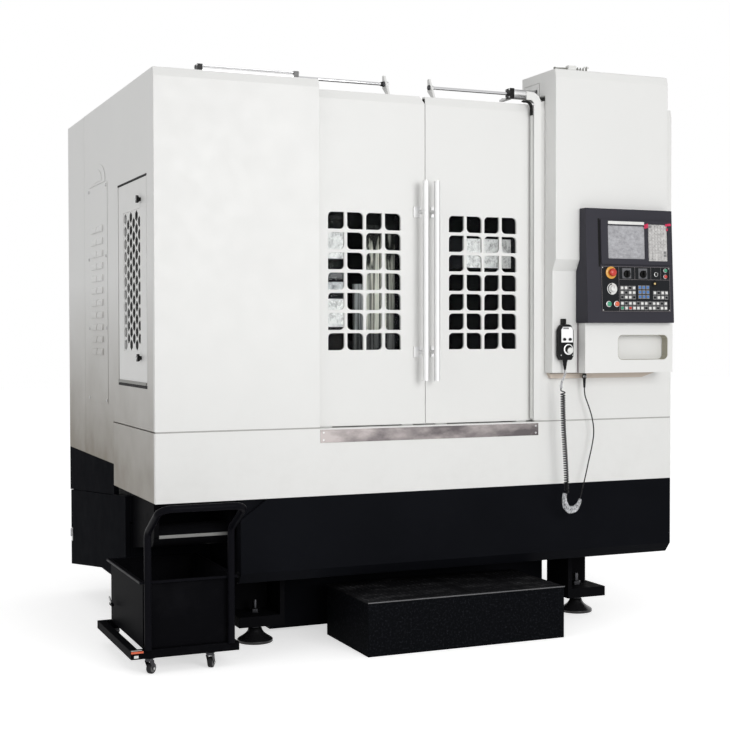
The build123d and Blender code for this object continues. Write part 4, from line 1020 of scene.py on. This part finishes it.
def make_front_details():
    """Screws of the sill and of the handles, and the seal on the left leaf's meeting edge."""
    sill, leaf = span("sill_strip"), span("left_door")
    shape = Shape()
    for x in (sill.x0 + 0.016, sill.x1 - 0.016):
        for z in (sill.z0 + 0.013, sill.z1 - 0.013):
            shape.screw(at(x, sill.y0, z), to_front, 0.005)
    shape.piece("sill_screws", "foot_steel")
    block_piece("meeting_seal", "black_plastic", "rubber",
                (leaf.x1 + seat, leaf.x1 + 0.0018, 0.044, 0.072, 1.07, 2.64), body="left_leaf")
    for side in ("left", "right"):
        handle = span(f"{side}_door_handle")
        shape = Shape()
        for z in (1.410, 2.088):
            for dz in (-0.010, 0.010):
                shape.screw(at((handle.x0 + handle.x1) / 2, handle.y0, z + dz), to_front, 0.0035, "handle")
        shape.piece(f"{side}_handle_screws", "foot_steel", body=f"{side}_leaf")


def make_cylinder(side, tail_first):
    """Tie-rod cylinder lying along X; tail_first says that its tail is on the low X side."""
    box = span(f"{side}_cylinder")
    y, z = 0.100, (box.z0 + box.z1) / 2
    cap, half = 0.024, (box.z1 - box.z0) / 2 - 0.0005
    tie_rods = [(y + dy, z + dz) for dy in (-0.019, 0.019) for dz in (-0.019, 0.019)]
    shape = Shape()
    shape.rod(at(box.x0 + cap, y, z), at(box.x1 - cap, y, z), 0.0225, "tube", 40)
    for rod_y, rod_z in tie_rods:
        shape.rod(at(box.x0 + 0.002, rod_y, rod_z), at(box.x1 - 0.002, rod_y, rod_z), 0.0028, "chrome", 10)
    for x, face, way in ((box.x0, box.x0, to_left), (box.x1 - cap, box.x1, to_right)):
        tail = (way == to_left) == tail_first
        shape.block(x, x + cap, y - half, y + half, z - half, z + half,
                    "knob" if tail == (side == "left") else "head_grey")
        for rod_y, rod_z in tie_rods:
            shape.nut(at(face, rod_y, rod_z), way, 0.0055, 0.0028)
        shape.block(x, x + cap, y + 0.010, box.y1, box.z0, box.z0 + 0.0095, "fitting")
        shape.nut(at(x + cap / 2, box.y1 - 0.014, box.z0 + 0.0095), upward, 0.007, 0.006)
        shape.rod(at(x + cap / 2, y + half, z), at(x + cap / 2, y + half + 0.010, z), 0.006, "fitting", 12)
    shape.piece(f"{side}_air_cylinder", "cylinder_aluminium", 0.0012, replaces=(f"{side}_cylinder",))


def make_port_collar():
    """Sheet collar that closes the tower's port round the right cylinder."""
    tube = span("right_cylinder")
    face = span("tower_shell").x0
    y0, y1, z0, z1, gap = 0.0553, 0.2047, 2.6903, 2.7597, 0.0008
    near, far = tube.y0 - gap, tube.y1 + gap
    low, high = max(tube.z0 - gap, z0), tube.z1 + gap
    sides = ((y0, y1, high, z1), (y0, near, z0, high), (far, y1, z0, high), (near, far, z0, low))
    block_piece("port_collar", "white_paint", "white",
                *[(face + 0.0002, face + 0.0020, *side) for side in sides
                  if side[1] - side[0] > gap and side[3] - side[2] > gap])


def make_bracket_nuts():
    """Rod nuts on both sides of the brackets."""
    y, z = 0.100, 2.706
    left_end, right_end = span("left_door_rod").x1, span("right_door_rod").x0
    left = Shape()
    left.nut(at(left_end - 0.0005, y, z), to_left, 0.0135, 0.010, "dark_steel")
    left.lathe(at(left_end - 0.0105, y, z), to_left,
               [(0, 0.0115), (0.006, 0.011), (0.010, 0.0095), (0.010, 0.0085)], "knob", 24)
    left.nut(at(1.1755, y, z), to_right, 0.014, 0.010)
    left.piece("left_rod_nuts", "foot_steel", 0.0008, body="left_leaf")
    right = Shape()
    right.nut(at(right_end + 0.0005, y, z), to_right, 0.0115, 0.009, "fitting")
    right.nut(at(1.4075, y, z), to_left, 0.0125, 0.009, "dark_steel")
    right.piece("right_rod_nuts", "foot_steel", 0.0008, body="right_leaf")


def make_roof_fittings():
    """Pipe, junction box and lifting studs on the tower's roof."""
    box = span("roof_fittings")
    y = (box.y0 + box.y1) / 2
    shape = Shape()

    def rod(x0, x1, low, high, radius, key, sides):
        shape.rod(at(box.x0 + x0, y, box.z0 + low), at(box.x0 + x1, y, box.z0 + high), radius, key, sides)

    rod(0.004, 0.075, 0.006, 0.010, 0.0045, "ledge_grey", 16)
    shape.nut(at(box.x0, y, box.z0 + 0.006), to_right, 0.0075, 0.010, "ledge_grey")
    shape.block(box.x0 + 0.075, box.x0 + 0.120, y - 0.014, y + 0.014, box.z0 + seat, box.z0 + 0.024,
                "white_key")
    shape.nut(at(box.x0 + 0.120, y, box.z0 + 0.011), to_right, 0.007, 0.008, "ledge_grey")
    for x in (0.136, 0.152, 0.168):
        rod(x, x, seat, 0.012, 0.0055, "ledge_grey", 14)
        rod(x, x, 0.012, 0.019, 0.0035, "ledge_grey", 12)
    rod(0.186, 0.186, seat, 0.026, 0.005, "ledge_grey", 14)
    rod(0.172, 0.200, 0.022, 0.022, 0.004, "white_key", 14)
    shape.piece("roof_valve_group", "fitting_grey", 0.0008, replaces=("roof_fittings",))


# Control panel: built flat (across, up, out), then leaned into place

panel_foot = at(2.135, -0.192, 1.551)
panel_place = Matrix.Translation(panel_foot) @ Matrix.Rotation(math.atan2(0.570, 0.026), 4, "X")
plate_face = 0.0032
bezel_depth = 0.009


def make_bezel():
    """Frame round the screen and the keypad, with its strips."""
    windows = [rounded(0.122, 0.341, 0.3205, 0.4865, 0.004), rounded(0.361, 0.4775, 0.3115, 0.4975, 0.004)]
    place = panel_place @ Matrix.Translation((0, 0, bezel_depth / 2 + 0.0002))
    made = perforated("screen_bezel", rounded(0.081, 0.4985, 0.292, 0.5145, 0.006), windows, bezel_depth,
                      place, "panel")
    round_edges(made, 0.003, 3, harden=False)
    settle(made, "machine")
    bar = Shape()
    bar.box((0.1235, 0.4925, bezel_depth), (0.3365, 0.5075, bezel_depth + 0.0012), "white_key")
    # Black strip at the left: painted shade of a groove in the panel.
    bar.box((0.069, 0.279, 0.0002), (0.0795, 0.520, 0.0012), "rubber")
    bar.place(panel_place)
    bar.piece("bezel_strips", "panel_black", 0.0003)


def film_sheet(name, sides, out, key, slot, node, columns, rows, ripple):
    """Protective film laid over a face, with shallow ripples."""
    x0, x1, y0, y1 = sides
    shape = Shape(key)
    verts, faces = shape.mesh.verts, shape.mesh.faces
    grid = []
    for row in range(rows + 1):
        line = []
        for column in range(columns + 1):
            x = x0 + (x1 - x0) * column / columns
            y = y0 + (y1 - y0) * row / rows
            wave = math.sin(61 * x + 43 * y) * math.sin(97 * y - 31 * x + 1.1)
            wave += 0.5 * math.sin(170 * x + 140 * y)
            edge = min(column, columns - column, row, rows - row) / 3
            line.append(verts.new((x, y, out + max(-0.0008, ripple * wave * min(1.0, edge)))))
        grid.append(line)
    for low, high in zip(grid, grid[1:]):
        for column in range(columns):
            faces.new((low[column], low[column + 1], high[column + 1], high[column]))
    back = [verts.new((x, y, out - 0.0025)) for x, y in ((x0, y0), (x0, y1), (x1, y1), (x1, y0))]
    faces.new(back)
    rims = [[line[0] for line in grid], grid[-1], [line[-1] for line in grid][::-1], grid[0][::-1]]
    for rim, first, second in zip(rims, back, [*back[1:], back[0]]):
        faces.new([*rim[::-1], first, second])
    shape.place(panel_place)
    shape.piece(name, slot, replaces=(node,))


def make_screens():
    """Display, keypad with its keys, and the tabs of their films."""
    film_sheet("display_face", (0.1225, 0.3405, 0.321, 0.486), 0.0042, "screen", "screen_grey",
               "display_screen", 56, 42, 0.0004)
    film_sheet("keypad_face", (0.3615, 0.477, 0.312, 0.497), 0.0036, "film", "key_plastic",
               "keypad", 30, 46, 0.0003)
    keys = Shape()
    for row in range(11):
        for column in range(4 if row in (3, 7) else 6):
            x, y = 0.3675 + column * 0.0178, 0.3185 + row * 0.0162
            key = "grey_key" if (row, column) in ((1, 5), (2, 5), (10, 0)) else "film"
            keys.box((x, y, 0.0044), (x + 0.0140, y + 0.0118, 0.0066), key)
    keys.place(panel_place)
    keys.piece("keypad_keys", "key_plastic", 0.0008)
    tabs = Shape()
    for x0, y0, x1, y1 in ((0.3365, 0.4740, 0.3600, 0.5000), (0.4640, 0.4890, 0.4975, 0.5040),
                           (0.4700, 0.4650, 0.4790, 0.4800)):
        for step in range(3):
            share, after = step / 3, (step + 1) / 3
            lift = 0.0095 + 0.004 * math.sin(math.pi * (share + after) / 2)
            tabs.box((x0 + (x1 - x0) * share, y0 + 0.3 * (y1 - y0) * share, bezel_depth),
                     (x0 + (x1 - x0) * after, y0 + (y1 - y0) * (0.75 + 0.25 * after), lift), "tab_red")
    tabs.place(panel_place)
    tabs.piece("film_tabs", "panel_black", 0.0006)


def make_button_field():
    """Plate of the buttons with its ribs and screws."""
    plate = Shape()
    x0, x1, y0, y1 = 0.0825, 0.4885, 0.0570, 0.2815
    column, row, rib = 0.1830, 0.2165, 0.0011
    plate.box((x0, y0, 0.0002), (x1, y1, plate_face), "plate")
    for a, b, c, d in ((x0, x1, y1 - rib, y1), (x0, x1, y0, y0 + rib), (x0, x0 + rib, y0, y1),
                       (x1 - rib, x1, y0, y1), (column, column + rib, y0, y1), (column, x1, row, row + rib),
                       *[(x, x + rib, row, y1) for x in (0.2780, 0.3740, 0.4340)]):
        plate.box((a, c, plate_face), (b, d, 0.0040), "rib")
    for y in (0.0635, 0.275):
        for x in (0.089, 0.482):
            plate.screw((x, y, plate_face), upward, 0.0030)
    plate.place(panel_place)
    plate.piece("button_field", "panel_black", 0.0004, replaces=("button_plate",))


def make_switches():
    """Buttons, dial, turning switches and lock of the button field."""
    shape = Shape()

    def turned(x, y, lift, key, sides, *profile):
        shape.lathe((x, y, plate_face + lift), upward, profile, key, sides)

    def bar(x0, x1, y0, y1, low, high, key):
        shape.box((x0, y0, plate_face + low), (x1, y1, plate_face + high), key)

    def button(x, y, radius, height, key):
        turned(x, y, 0, "steel", 28, (0, radius * 1.22), (0.003, radius * 1.22), (0.004, radius * 1.08),
               (0.004, radius), (0.004, 0))
        turned(x, y, 0.0038, key, 28, (0, radius * 0.94), (height * 0.8, radius * 0.92),
               (height, radius * 0.7), (height * 1.04, 0))

    turned(0.138, 0.250, 0, "yellow", 40, (0, 0.0305), (0.0030, 0.0305), (0.0042, 0.0285), (0.0042, 0))
    turned(0.138, 0.250, 0.004, "red", 40, (0, 0.012), (0.009, 0.012), (0.010, 0.0195), (0.015, 0.0205),
           (0.020, 0.0185), (0.024, 0.012), (0.0255, 0))
    x, y = 0.1425, 0.1695
    turned(x, y, 0, "white_key", 40, (0, 0.029), (0.0020, 0.029), (0.0026, 0.028), (0.0026, 0))
    turned(x, y, 0.0026, "white_key", 32, (0, 0.0180), (0.004, 0.0180), (0.005, 0.0165), (0.014, 0.0150),
           (0.0155, 0.0135), (0.0155, 0))
    for angle in range(100, 260, 16):
        mark = math.radians(angle)
        turned(x + 0.0235 * math.cos(mark), y + 0.0235 * math.sin(mark), 0.0026, "knob", 10,
               (0, 0.0034), (0.0006, 0.0034), (0.0006, 0))
    bar(0.1413, 0.1437, 0.1700, 0.1820, 0.0178, 0.0190, "knob")
    button(0.1207, 0.0935, 0.0125, 0.007, "green")
    button(0.1664, 0.0938, 0.0125, 0.007, "orange")
    for x in (0.2300, 0.3260):
        bar(x - 0.026, x + 0.026, 0.2222, 0.2735, 0, 0.0018, "grey_plate")
        turned(x, 0.2440, 0.0018, "knob", 32, (0, 0.0190), (0.006, 0.0190), (0.008, 0.0175),
               (0.010, 0.0165), (0.010, 0))
        bar(x - 0.0045, x + 0.0045, 0.2285, 0.2610, 0.0115, 0.0240, "knob")
    button(0.4046, 0.2444, 0.0095, 0.003, "knob")
    bar(0.4034, 0.4058, 0.2380, 0.2510, 0.0060, 0.0180, "steel")
    button(0.4605, 0.2644, 0.0090, 0.006, "green")
    button(0.4600, 0.2339, 0.0090, 0.006, "red")
    turned(0.3950, 0.1975, 0, "knob", 28, (0, 0.0150), (0.004, 0.0150), (0.006, 0.0130), (0.006, 0.0105),
           (0.0035, 0.0095), (0.0035, 0))
    turned(0.3950, 0.1975, 0.0035, "brass", 20, (0, 0.0060), (0.002, 0.0055), (0.002, 0))
    shape.place(panel_place)
    shape.piece("panel_switches", "black_plastic", 0.0006, replaces=("panel_controls",))


def make_keys():
    """Four fields of keys: a field holds its first key's place, columns, rows and kind."""
    shape = Shape()
    pitch = 0.0236
    for x0, y0, columns, rows, kind in ((0.1900, 0.1180, 4, 3, "mixed"), (0.2960, 0.1210, 3, 3, "blue"),
                                        (0.3850, 0.1180, 4, 2, "mixed"), (0.1900, 0.0640, 12, 2, "white")):
        for row in range(rows):
            for column in range(columns):
                x, y = x0 + column * pitch, y0 + row * pitch
                shape.box((x, y, plate_face), (x + 0.0198, y + 0.0198, plate_face + 0.0022), "grey_key")
                cap = "blue" if kind == "blue" else ("white_key" if (row * 7 + column * 5) % 3 else "plate")
                if kind == "white" and row == 0 and column < 5:
                    cap = ("green", "white_key", "red", "white_key", "white_key")[column]
                shape.box((x + 0.0030, y + 0.0040, plate_face + 0.0022),
                          (x + 0.0168, y + 0.0158, plate_face + 0.0034), cap)
    shape.place(panel_place)
    shape.piece("panel_keys", "key_plastic", 0.0007)


def make_console_seal():
    """Seal between the console and the tower."""
    edge = span("console_box").x0
    block_piece("console_seal", "black_plastic", "rib",
                (edge - 0.0030, edge - 0.0004, -0.090, -0.0785, 1.302, 1.549))


def make_console_slot():
    """Beige-grey sheet round the inside of the console's slot: painted shade of the recess."""
    x0, x1, z0, z1, radius, wall, depth = 2.3395, 2.6375, 1.3655, 1.4895, 0.0255, 0.0015, 0.046
    outline = rounded(x0, x1, z0, z1, radius, 6)
    hole = rounded(x0 + wall, x1 - wall, z0 + wall, z1 - wall, radius - wall, 6)
    turn = Matrix(((1, 0, 0, 0), (0, 0, -1, 0), (0, 1, 0, 0), (0, 0, 0, 1)))
    place = Matrix.Translation(at(0, span("console_box").y0 + depth / 2 + 0.0015, 0)) @ turn
    settle(perforated("console_slot_shade", outline, [hole], depth, place, "slot_shade"), "machine")


# Hand pendant and the cord's gland

def make_pendant():
    """Pendant with its face, its bend relief and the clip that holds it."""
    box, holder = span("hand_pendant"), span("pendant_holder")
    x = (box.x0 + box.x1) / 2
    front = -0.122
    low, high = 1.366, 1.544
    shape = Shape()
    outline = [(-0.030, low), (0.030, low), (0.0405, low + 0.020), (0.0405, high - 0.030),
               (0.026, high - 0.004), (0.012, high), (-0.012, high), (-0.026, high - 0.004),
               (-0.0405, high - 0.030), (-0.0405, low + 0.020)]
    shape.along_y([(x + dx, z) for dx, z in outline], box.y1, front - box.y1, "plastic")
    shape.piece("pendant_body", "black_plastic", 0.005, 3, replaces=("hand_pendant",))
    face = Shape()
    plate = [(-0.032, 1.454), (0.034, 1.454), (0.034, 1.518), (0.024, 1.531), (-0.022, 1.531),
             (-0.032, 1.518)]
    face.along_y([(x + dx, z) for dx, z in plate], front, -0.0018, "silver")

    def turned(dx, out, z, key, sides, *profile):
        face.lathe(at(x + dx, front - out, z), to_front, profile, key, sides)

    for dx in (-0.015, 0.017):
        turned(dx, 0.0018, 1.4690, "knob", 20, (0, 0.0078), (0.007, 0.0068), (0.008, 0.005), (0.008, 0))
    face.block(x - 0.022, x + 0.010, front - 0.0026, front - 0.0018, 1.520, 1.528, "grey_key")
    turned(0.008, 0, 1.419, "silver", 40, (0, 0.0270), (0.0035, 0.0270), (0.0045, 0.0255), (0.0045, 0.0205),
           (0.0045, 0))
    turned(0.006, 0.0045, 1.421, "knob", 36, (0, 0.0200), (0.004, 0.0200), (0.0050, 0.0190), (0.0050, 0))
    turned(0.013, 0.0095, 1.413, "white_key", 32, (0, 0.0160), (0.0045, 0.0155), (0.0056, 0.0140),
           (0.0056, 0))
    for dx in (-0.033, 0.033):
        face.screw(at(x + dx, front, 1.390), to_front, 0.003)
    face.piece("pendant_face", "black_plastic", 0.0006)
    relief = Shape()
    top = at(x, -0.104, 1.3670)
    length = (top - pendant_tip).length
    steps = [(0, 0.0135), (0.2, 0.0115), (0.2, 0.0105), (0.45, 0.0090), (0.45, 0.0098), (0.55, 0.0092),
             (0.55, 0.0080), (0.92, 0.0058), (0.98, 0.0050), (0.98, 0)]
    profile = [(length * share, radius) for share, radius in steps]
    relief.lathe(top, pendant_tip - top, profile, "plastic", 24)
    relief.piece("pendant_relief", "black_plastic")
    rear = holder.y1 - seat
    block_piece("pendant_clip", "black_plastic", "knob",
                (x - 0.020, x + 0.020, holder.y0 + seat, rear, 1.440, 1.530),
                (x - 0.0115, x + 0.0115, holder.y0 - 0.0120, rear, 1.5445, 1.5715),
                (x - 0.0115, x + 0.0115, holder.y0 + seat, rear, 1.530, 1.5445),
                bevel=0.0015, replaces=("pendant_holder",))


def make_gland():
    """Gland under the tower with its lock nut and bend relief."""
    shape = Shape()
    top = at(2.204, -0.050, 1.2995)
    length = (top - gland_tip).length
    shape.lathe(top, gland_tip - top,
                [(0, 0.0118), (0.004, 0.0118), (0.0045, 0.0095), (0.010, 0.0095), (0.0105, 0.0118),
                 (0.026, 0.0118), (0.029, 0.0092), (0.031, 0.0075), (length * 0.72, 0.0066),
                 (length * 0.99, 0.0050), (length * 0.99, 0)], "plastic", 12)
    lock_nut = top - Vector((0, 0, 0.0125))
    shape.lathe(lock_nut, downward, [(0, 0.0122), (0.011, 0.0122), (0.011, 0)], "silver", 6)
    shape.piece("gland_body", "black_plastic", 0.0005, replaces=("cord_gland",))


# Jamb, seams and ledge

def ribbon(shape, line, inner, outer, y0, y1, key):
    """Flat strip along a line of (x, z) points, in front of a wall; offsets are to the line's left."""
    low, high = [], []
    for step, (x, z) in enumerate(line):
        (ax, az), (bx, bz) = line[max(0, step - 1)], line[min(len(line) - 1, step + 1)]
        long = math.hypot(bx - ax, bz - az)
        nx, nz = -(bz - az) / long, (bx - ax) / long
        low.append((x + nx * inner, z + nz * inner))
        high.append((x + nx * outer, z + nz * outer))
    shape.along_y(low + high[::-1], y0, y1 - y0, key)


def corner_line(x0, x1, z0, z1, radius, steps=8):
    """Line from a top left point along the top, round the corner and down."""
    arc = [math.radians(90 - 90 * step / steps) for step in range(steps + 1)]
    bend = [(x1 - radius + radius * math.cos(turn), z1 - radius + radius * math.sin(turn)) for turn in arc]
    return [(x0, z1), *bend, (x1, z0)]


def make_jamb():
    """Moulding and rubber seal round the right leaf's corner of the opening."""
    moulding = Shape()
    ribbon(moulding, corner_line(1.893, 1.977, 1.064, 2.704, 0.062), 0.0, -0.042, -0.009, -seat, "white")
    moulding.piece("jamb_moulding", "white_paint", 0.003, 3)
    seal = Shape()
    ribbon(seal, corner_line(1.880, 1.9335, 2.590, 2.6600, 0.034), 0.0, -0.0060, 0.0015, 0.0235, "rubber")
    seal.block(1.9318, 1.9335, 0.0010, 0.0235, 1.070, 2.590, "white")
    seal.piece("jamb_seal", "black_plastic", 0.001)


def make_seam_fillers():
    """Sealant lying in the seams between the covers."""
    cover, far = span("left_front_cover"), span("right_front_cover")
    gap = 0.0002
    low, high = span("front_skirt").z1 + gap, cover.z0 - gap
    block_piece("front_sealant", "white_paint", "sealant", (0.004, cover.x1, 0.0012, 0.020, low, high),
                (far.x0, far.x1 - 0.002, 0.0012, 0.020, low, high))
    near, rear = span("left_side_wall").y1 + gap, span("left_rear_wall").y0 - gap
    block_piece("side_sealant", "white_paint", "sealant", (0.0012, 0.020, near, rear, 0.850, 2.688))


def make_base_ledge():
    """Ledge under the tower, its right end cut slanting; its beige is painted shade and the brown line
    along its top a painted shadow.
    """
    strip = span("tower_base_strip")
    x0, x1, y0, z0, z1 = strip.x0, strip.x1, strip.y0, strip.z0, strip.z1
    shape = Shape()
    outline = [(x0 + 0.012, z0), (x1 - 0.085, z0), (x1 - 0.004, z1 - 0.004), (x1 - 0.004, z1 - 0.0005),
               (x0, z1 - 0.0005), (x0, z1 - 0.008)]
    shape.along_y(outline, y0, strip.y1 - seat - y0, "strip")
    shape.piece("base_ledge", "beige_paint", 0.0015, replaces=("tower_base_strip",))
    # Brown line along the ledge's top: painted shadow.
    block_piece("ledge_line", "beige_paint", "brown",
                (x0 + 0.002, x1 - 0.004, y0 - 0.0012, y0 + 0.0005, z1 - 0.0045, z1 - 0.001))


# Step and cart

def make_treads():
    """Plates with crossed lozenges and a bar along the front edge."""
    box = span("step_treads")
    seam, pitch, margin = 0.003, 0.030, 0.022
    long, wide = 0.0115 * 0.7071, 0.0028 * 0.7071
    edges = [box.x0, 1.505, 1.790, box.x1]
    face = box.z1 - 0.0022
    shape = Shape()
    for number, (x0, x1) in enumerate(zip(edges, edges[1:])):
        left = x0 + (seam / 2 if number else 0)
        right = x1 - (seam / 2 if number < 2 else 0)
        shape.block(left, right, box.y0, box.y1, box.z0 + 0.0001, face, "tread")
        for column in range(int((right - left - 0.02) / pitch)):
            for row in range(int((box.y1 - box.y0 - 0.02) / pitch)):
                x, y = left + margin + column * pitch, box.y0 + margin + row * pitch
                way = 1 if (column + row) % 2 else -1
                points = [(x - long, y - way * long), (x + wide, y - way * wide),
                          (x + long, y + way * long), (x - wide, y + way * wide)]
                shape.prism([at(px, py, face) for px, py in points], (0, 0, 0.0017), "lozenge")
    shape.piece("tread_plates", "tread_plate", replaces=("step_treads",))
    nose = Shape()
    ends = [at(x, box.y0 + 0.003, box.z1 - 0.0042) for x in (box.x0 + 0.001, box.x1 - 0.001)]
    nose.rod(*ends, 0.0034, "worn_edge", 10)
    nose.piece("tread_nose", "tread_plate")


def make_cart_details():
    """Rim of the tray, tab on the frame's corner and latch."""
    tray, frame_box = span("cart_tray"), span("cart_frame")
    x0, x1, y0, y1, top, lip = tray.x0, tray.x1, tray.y0, tray.y1, tray.z1, 0.006
    block_piece("tray_rim", "black_paint", "cart_gloss",
                *[(*sides, top - 0.010, top + 0.001) for sides in (
                    (x0 - lip, x1 + lip, y0 - lip, y0 - seat), (x0 - lip, x1 + lip, y1 + seat, y1 + lip),
                    (x0 - lip, x0 - seat, y0, y1), (x1 + seat, x1 + lip, y0, y1))],
                bevel=0.0022, segments=3)
    tab = Shape()
    fx, fy = frame_box.x0, frame_box.y0
    tab.block(fx + 0.001, fx + 0.056, fy - 0.0016, fy - 0.0002, 0.1005, 0.1095, "orange")
    tab.block(fx + 0.002, fx + 0.050, fy - 0.0012, fy + 0.010, 0.1122, 0.1132, "white_key")
    tab.block(fx + 0.014, fx + 0.034, fy - 0.0016, fy - 0.0002, 0.0800, 0.0920, "white_key")
    tab.piece("corner_tab", "foot_steel", 0.0004)
    latch = Shape()
    latch.block(x0 - 0.012, x0 - seat, y1 - 0.13, y1 - 0.08, 0.205, 0.218, "cart")
    ends = [at(x0 - 0.008, y1 - 0.105, 0.212), at(x0 - 0.008, y1 - 0.060, 0.240)]
    latch.rod(*ends, 0.0045, "fitting", 12, 0.001)
    latch.piece("tray_latch", "foot_steel", 0.001)


def castor(x, y, turn):
    """Fork and wheel of a swivelled castor under the cart's frame."""
    top, axle, reach = 0.0738, 0.025, 0.014
    fork = Shape()
    fork.box((-0.022, -0.022, top - 0.003), (0.022, 0.022, top), "dark_steel")
    fork.lathe((0, 0, top - 0.003), downward, [(0, 0.017), (0.006, 0.0185), (0.010, 0.0165), (0.010, 0)],
               "dark_steel", 28)
    outline = [(-0.014, top - 0.0125), (0.016, top - 0.0125), (reach + 0.008, axle - 0.002),
               (reach + 0.004, axle - 0.008), (reach - 0.006, axle - 0.006)]
    for side in (-1, 1):
        cheek = [(side * 0.0135, along, up) for along, up in outline]
        fork.prism(cheek, (side * 0.0022, 0, 0), "dark_steel")
        fork.nut((side * 0.0157, reach, axle), (side, 0, 0), 0.0065, 0.004, "fitting")
    fork.box((-0.0157, -0.014, top - 0.0145), (0.0157, 0.016, top - 0.0120), "dark_steel")
    wheel = Shape()
    wheel.lathe((-0.011, reach, axle), to_right,
                [(0, 0.0205), (0.0015, 0.0235), (0.005, 0.0248), (0.017, 0.0248), (0.0205, 0.0235),
                 (0.022, 0.0205)], "tyre", 40)
    wheel.lathe((-0.0118, reach, axle), to_right,
                [(0, 0.0060), (0.0002, 0.0165), (0.0012, 0.0180), (0.0224, 0.0180), (0.0234, 0.0165),
                 (0.0236, 0.0060)], "hub", 32)
    for part in (fork, wheel):
        part.place(Matrix.Translation(at(x, y, 0)) @ Matrix.Rotation(math.radians(turn), 4, "Z"))
    return fork, wheel


def joined(parts):
    """One shape from several that have the same materials in the same order."""
    whole = Shape(*parts[0].keys)
    for part in parts:
        mesh = bpy.data.meshes.new("part")
        part.mesh.to_mesh(mesh)
        part.mesh.free()
        whole.mesh.from_mesh(mesh)
        bpy.data.meshes.remove(mesh)
    return whole


def make_castors():
    forks, wheels = zip(*[castor(x, y, turn) for x, y, turn in (
        (-0.054, -0.086, -52), (0.224, -0.086, -38), (-0.054, 0.580, 24), (0.224, 0.580, -15))])
    joined(forks).piece("castor_forks", "foot_steel", 0.0008, replaces=("caster_forks",))
    joined(wheels).piece("castor_wheels", "caster_rubber", replaces=("caster_wheels",))


# Levelling feet

def make_feet():
    """Pads with their nuts and studs; the legs' flanges lie between the two nuts."""
    nut_height, upper_nut = 0.0200, 0.1442
    stud = upper_nut + nut_height
    pad = [(0, 0.0860), (0.004, 0.0875), (0.013, 0.0870), (0.019, 0.0810), (0.030, 0.0620), (0.043, 0.0450),
           (0.056, 0.0360), (0.066, 0.0330), (0.070, 0.0290), (0.070, 0)]
    stud_end = [(0, 0.0120), (0.200 - stud, 0.0120), (0.2055 - stud, 0.0100), (0.2055 - stud, 0)]
    shape = Shape()
    for x in (0.577, 2.397):
        for y in (0.340, 1.670):
            shape.lathe(at(x, y, 0), upward, pad, "foot_black", 48)
            for z in (0.0705, upper_nut):
                shape.nut(at(x, y, z), upward, 0.0260, nut_height, "dark_steel")
            shape.lathe(at(x, y, stud), upward, stud_end, "dark_steel", 20)
    shape.piece("levelling_pads", "foot_steel", 0.0008, replaces=("levelling_feet",))


# Left rear: light bar along the chute, a painted highlight, and tank cover

def make_chute_highlight():
    """Light flat bar along the discharge drum's front: a painted highlight standing in for the drum's
    glint.
    """
    shape = Shape()
    outline = [(0.1935, 0.566), (0.1970, 0.567), (0.1990, 0.552), (0.1955, 0.551)]
    shape.along_x(outline, span("chip_chute").x0 + 0.0255, 0.339, "painted_highlight_bar")
    shape.piece("chute_highlight_bar", "black_paint", 0.0008)


def make_tank_cover():
    """Side cover of the tank, flush with the plate above it, and its pull latch."""
    tank = span("side_tank")
    face, ledge = 0.0015, 0.572
    outline = [(0.602, 0.707), (1.998, 0.593), (1.998, 0.159), (1.170, 0.268), (0.602, 0.268)]
    inner = [(0.604, ledge), (1.996, ledge), (1.996, 0.162), (1.170, 0.270), (0.604, 0.270)]
    shape = Shape()
    shape.along_x(outline, face, tank.x0 - face - 0.0004, "side_black")
    shape.along_x(inner, face + 0.001, tank.x0 + 0.0170 - face, "side_black")
    shape.piece("tank_cover", "black_paint", 0.0015)
    latch = Shape()
    y = tank.y1 - 0.040
    latch.block(face - 0.004, face - seat, y - 0.016, y + 0.016, 0.300, 0.375, "steel")
    latch.rod(at(face - 0.009, y, 0.325), at(face - 0.009, y, 0.372), 0.005, "chrome", 14, 0.001)
    latch.block(face - 0.009, face - 0.004, y - 0.004, y + 0.004, 0.340, 0.350, "chrome")
    latch.piece("tank_latch", "foot_steel", 0.0008)


bpy.context.scene.view_settings.view_transform = "Standard"
make_camera()
make_cord()
make_world()
make_floor()
make_lights()
dress_nodes()
make_shade_lining()
make_ways()
make_inner_sheets()
make_grille()
make_service_details()
make_louvre_panel()
make_window_seals()
make_front_details()
make_cylinder("left", True)
make_cylinder("right", False)
make_port_collar()
make_bracket_nuts()
make_roof_fittings()
make_bezel()
make_screens()
make_button_field()
make_switches()
make_keys()
make_console_seal()
make_pendant()
make_gland()
make_jamb()
make_seam_fillers()
make_service_bay()
make_console_slot()
make_base_ledge()
make_treads()
make_cart_details()
make_castors()
make_feet()
make_chute_highlight()
make_tank_cover()
inner_light()
